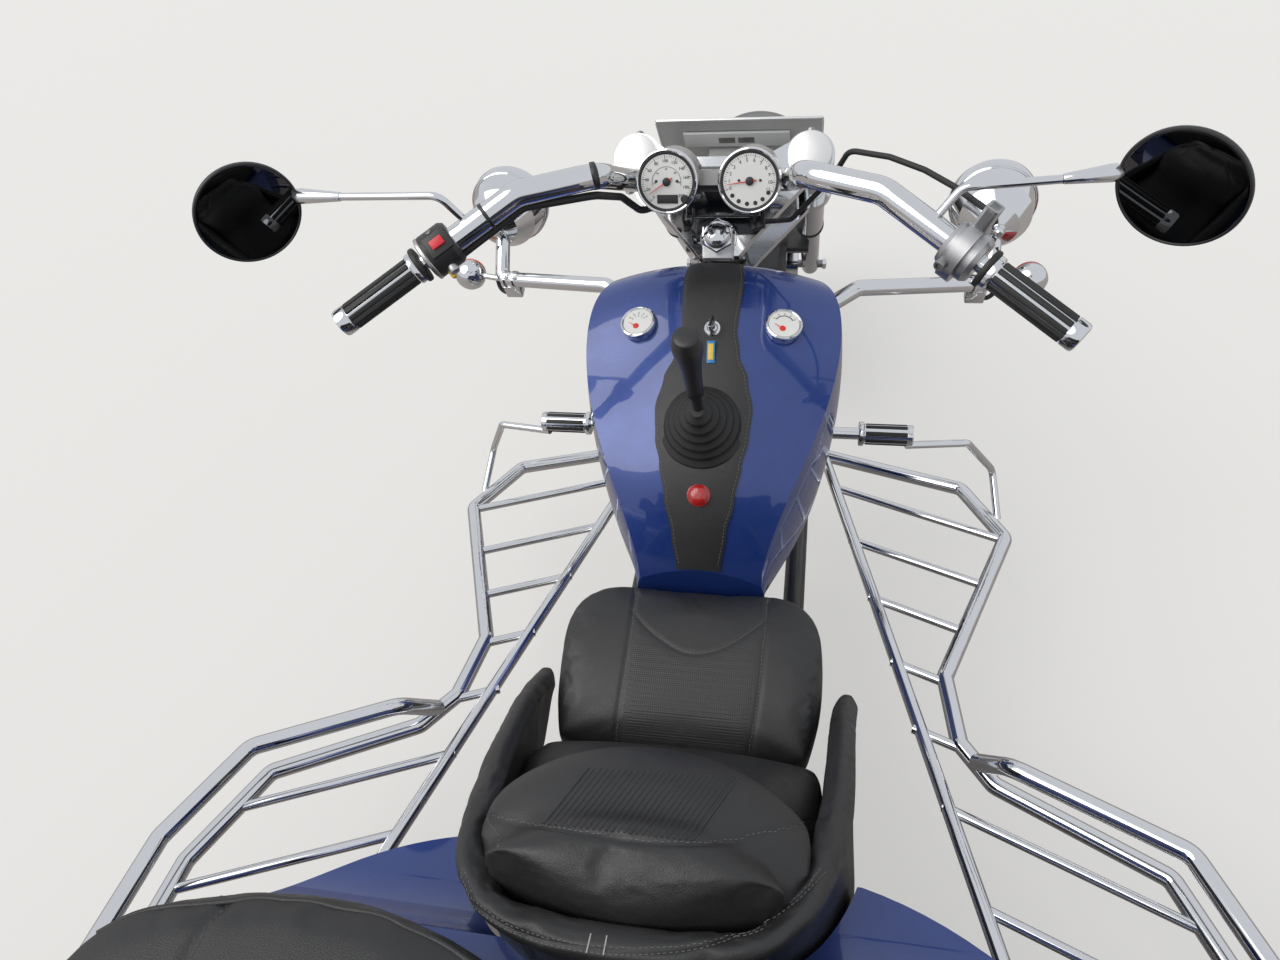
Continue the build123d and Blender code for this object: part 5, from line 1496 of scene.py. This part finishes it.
REAR_ROWS = (
    (0.000, 0.0006, 0, 0.030, 0), (0.037, 0.0014, 1, 0.030, 10), (-0.037, 0.0014, -1, 0.030, -10),
    (0.075, 0.0038, 3, 0.032, 16), (-0.075, 0.0038, -3, 0.032, -16), (0.108, 0.0118, 15, 0.026, 20),
    (-0.108, 0.0118, -15, 0.026, -20),
)
for side, name in ((1, "left"), (-1, "right")):
    hub = mm(side * REAR_HUB_X, REAR_HUB_Y, REAR_HUB_Z)
    made = tread("rear_tyre_tread_" + name, hub, REAR_R, REAR_HALF, REAR_BEAD, REAR_ROWS, 60)
    dressed(made, TYRE_RUBBER, "rear_wheel_" + name, ("rear_tyre_" + name,))
    out = Vector((side, 0, 0))
    parts = [turned("hub_cap", [
        (0.0, 0.034), (0.012, 0.034), (0.020, 0.030), (0.026, 0.020), (0.028, 0.006),
    ], hub + out * HUB_OUT, out)]
    for k in range(WHEEL_NUTS):
        a = 2 * pi * k / WHEEL_NUTS + 0.6
        spot = hub + out * HUB_OUT + Vector((0, cos(a), sin(a))) * WHEEL_NUT_R
        parts.append(hex_bolt("nut", spot, out, 0.013, 0.010, 0.0080))
    dressed(joined("rear_wheel_nuts_" + name, parts), CHROME, "rear_wheel_" + name)

front_bolts = []
for side in (1, -1):
    out = Vector((side, 0, 0))
    front_bolts.append(turned("axle_cap", [
        (0.0, 0.0150), (0.006, 0.0150), (0.009, 0.0125), (0.010, 0.0050),
    ], FRONT_WHEEL + out * 0.176, out, sides=6, degrees=20))
dressed(joined("front_axle_nuts", front_bolts), CHROME, "fork")


def valve(hub, way, depth, aside):
    """A tyre valve, standing inwards from the rim's barrel."""
    steps = [(-0.004, 0.0040), (0.016, 0.0042), (0.018, 0.0036), (0.028, 0.0036), (0.029, 0.0030)]
    return turned("valve", steps, hub + way * depth + aside, -way, sides=20)


dressed(valve(FRONT_WHEEL, Vector((0, 0.6, 0.8)), 0.180, Vector((0.045, 0, 0))), GRIP_RUBBER, "front_wheel")
for side, name in ((1, "left"), (-1, "right")):
    hub = mm(side * REAR_HUB_X, REAR_HUB_Y, REAR_HUB_Z)
    stem = valve(hub, Vector((0, -0.8, 0.6)), 0.167, Vector((side * 0.055, 0, 0)))
    dressed(stem, GRIP_RUBBER, "rear_wheel_" + name)

# Brake bolts

DISC_BOLTS = 6
DISC_BOLT_R = 0.056
DISC_FACE_X = 0.0965
disc_bolts = []
for k in range(DISC_BOLTS):
    a = 2 * pi * k / DISC_BOLTS
    spot = FRONT_WHEEL + Vector((DISC_FACE_X, DISC_BOLT_R * cos(a), DISC_BOLT_R * sin(a)))
    disc_bolts.append(hex_bolt("bolt", spot, (1, 0, 0), 0.010, 0.005, 0.0066))
dressed(joined("brake_disc_bolts", disc_bolts), CHROME, "front_wheel")
caliper_bolts = [hex_bolt("bolt", mm(133.5, -1272, z), (1, 0, 0), 0.012, 0.006, 0.0075) for z in (348, 394)]
dressed(joined("caliper_bolts", caliper_bolts), CHROME, "fork")

# Tail: lamp rings, exhaust lips, a dark disc a little way inside each pipe, and the gap around the boot lid

TAIL_LAMP_X, TAIL_LAMP_Y, TAIL_LAMP_Z = 360, 1740, 440
EXHAUST_X, EXHAUST_Y, EXHAUST_Z = 200, 1762, 262
EXHAUST_DEEP = 58
for side, name in ((1, "left"), (-1, "right")):
    ring = lathed("tail_lamp_ring_" + name, [
        (0.0002, 0.0500), (0.0002, 0.0545), (0.0120, 0.0545), (0.0150, 0.0530), (0.0160, 0.0500),
    ], mm(side * TAIL_LAMP_X, TAIL_LAMP_Y, TAIL_LAMP_Z), (0, 1, 0), 72)
    dressed(ring, CHROME, "chassis")
    lip = lathed("exhaust_lip_" + name, [
        (-0.0120, 0.0236), (-0.0120, 0.0245), (0.0010, 0.0262), (0.0022, 0.0252), (0.0010, 0.0236),
    ], mm(side * EXHAUST_X, EXHAUST_Y, EXHAUST_Z), (0, 1, 0), 56)
    dressed(lip, CHROME, "chassis")
    # A dark disc closes each pipe 58 mm in, so the pipe shows dark inside.
    pipe_stop_disc = turned("exhaust_dark_" + name, [
        (0.0, 0.0238), (0.002, 0.0238), (0.0022, 0.0020),
    ], mm(side * EXHAUST_X, EXHAUST_Y - EXHAUST_DEEP, EXHAUST_Z), (0, 1, 0))
    dressed(pipe_stop_disc, GRIP_RUBBER, "chassis")

LID_HALF = 0.285
LID_LOW = 0.515
LID_HIGH = 0.690
LID_CORNER = 0.040
LID_CORNER_STEPS = 6
LID_PITCH = 0.012
LID_SUNK = 0.0010
LID_GAP = 0.0034
body_skin = surface(nodes["rear_body"])
lid_dots = []
turn_x, turn_high, turn_low = LID_HALF - LID_CORNER, LID_HIGH - LID_CORNER, LID_LOW + LID_CORNER
for centre_x, centre_z, start in (
        (turn_x, turn_high, 0), (-turn_x, turn_high, 90), (-turn_x, turn_low, 180), (turn_x, turn_low, 270)):
    for step in range(LID_CORNER_STEPS + 1):
        a = radians(start + 90 * step / LID_CORNER_STEPS)
        lid_dots.append((centre_x + LID_CORNER * cos(a), centre_z + LID_CORNER * sin(a)))
lid_line = []
for dot in spaced([(x, 0, z) for x, z in lid_dots + lid_dots[:1]], LID_PITCH):
    place, normal, _, _ = body_skin.ray_cast(Vector((dot.x, 1.9, dot.z)), Vector((0, -1, 0)))
    if place:
        lid_line.append(tuple(place - normal * LID_SUNK))
dressed(wire("boot_lid_gap", lid_line, LID_GAP, cyclic=True, kind="POLY", sides=8), GRIP_RUBBER, "chassis")

# Floor, light and surroundings

clear()
bpy.ops.mesh.primitive_plane_add(size=30, location=(0, 0, -0.0005))
floor = named("studio_floor")
floor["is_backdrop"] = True


def pale_where_seen(name, seen_colour, bounce_colour, glow):
    """A floor that the camera sees pale and even, with soft shadows, and that bounces a plain light."""
    made = bpy.data.materials.new(name)
    made.use_nodes = True
    tree = made.node_tree
    shader = tree.nodes["Principled BSDF"]
    shader.inputs["Roughness"].default_value = 0.9
    rays = tree.nodes.new("ShaderNodeLightPath")
    tint = tree.nodes.new("ShaderNodeMix")
    tint.data_type = "RGBA"
    tint.inputs["A"].default_value = (*bounce_colour, 1)
    tint.inputs["B"].default_value = (*[c * (1 - glow) for c in seen_colour], 1)
    tree.links.new(rays.outputs["Is Camera Ray"], tint.inputs["Factor"])
    tree.links.new(tint.outputs["Result"], shader.inputs["Base Color"])
    shader.inputs["Emission Color"].default_value = (*seen_colour, 1)
    strength = tree.nodes.new("ShaderNodeMath")
    strength.operation = "MULTIPLY"
    strength.inputs[1].default_value = glow
    tree.links.new(rays.outputs["Is Camera Ray"], strength.inputs[0])
    tree.links.new(strength.outputs["Value"], shader.inputs["Emission Strength"])
    return made


floor.data.materials.append(pale_where_seen("pale_floor", (0.74, 0.73, 0.71), (0.34, 0.31, 0.29), 0.62))

world = bpy.data.worlds.new("studio")
bpy.context.scene.world = world
world.use_nodes = True
sky = world.node_tree.nodes["Background"]
sky.inputs["Color"].default_value = (0.93, 0.96, 1.0, 1)
sky.inputs["Strength"].default_value = 0.80


def sunlight(name, spot, aim, spread_degrees, strength, colour):
    lamp = bpy.data.lights.new(name, "SUN")
    lamp.angle = radians(spread_degrees)
    lamp.energy = strength
    lamp.color = colour
    holder = bpy.data.objects.new(name, lamp)
    way = Vector(aim) - Vector(spot)
    holder.matrix_world = Matrix.Translation(spot) @ way.to_track_quat("-Z", "Y").to_matrix().to_4x4()
    bpy.context.scene.collection.objects.link(holder)


sunlight("key_light", (2.4, 1.2, 3.6), (0, -0.3, 0.5), 55, 1.9, (1.0, 0.97, 0.92))

low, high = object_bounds()
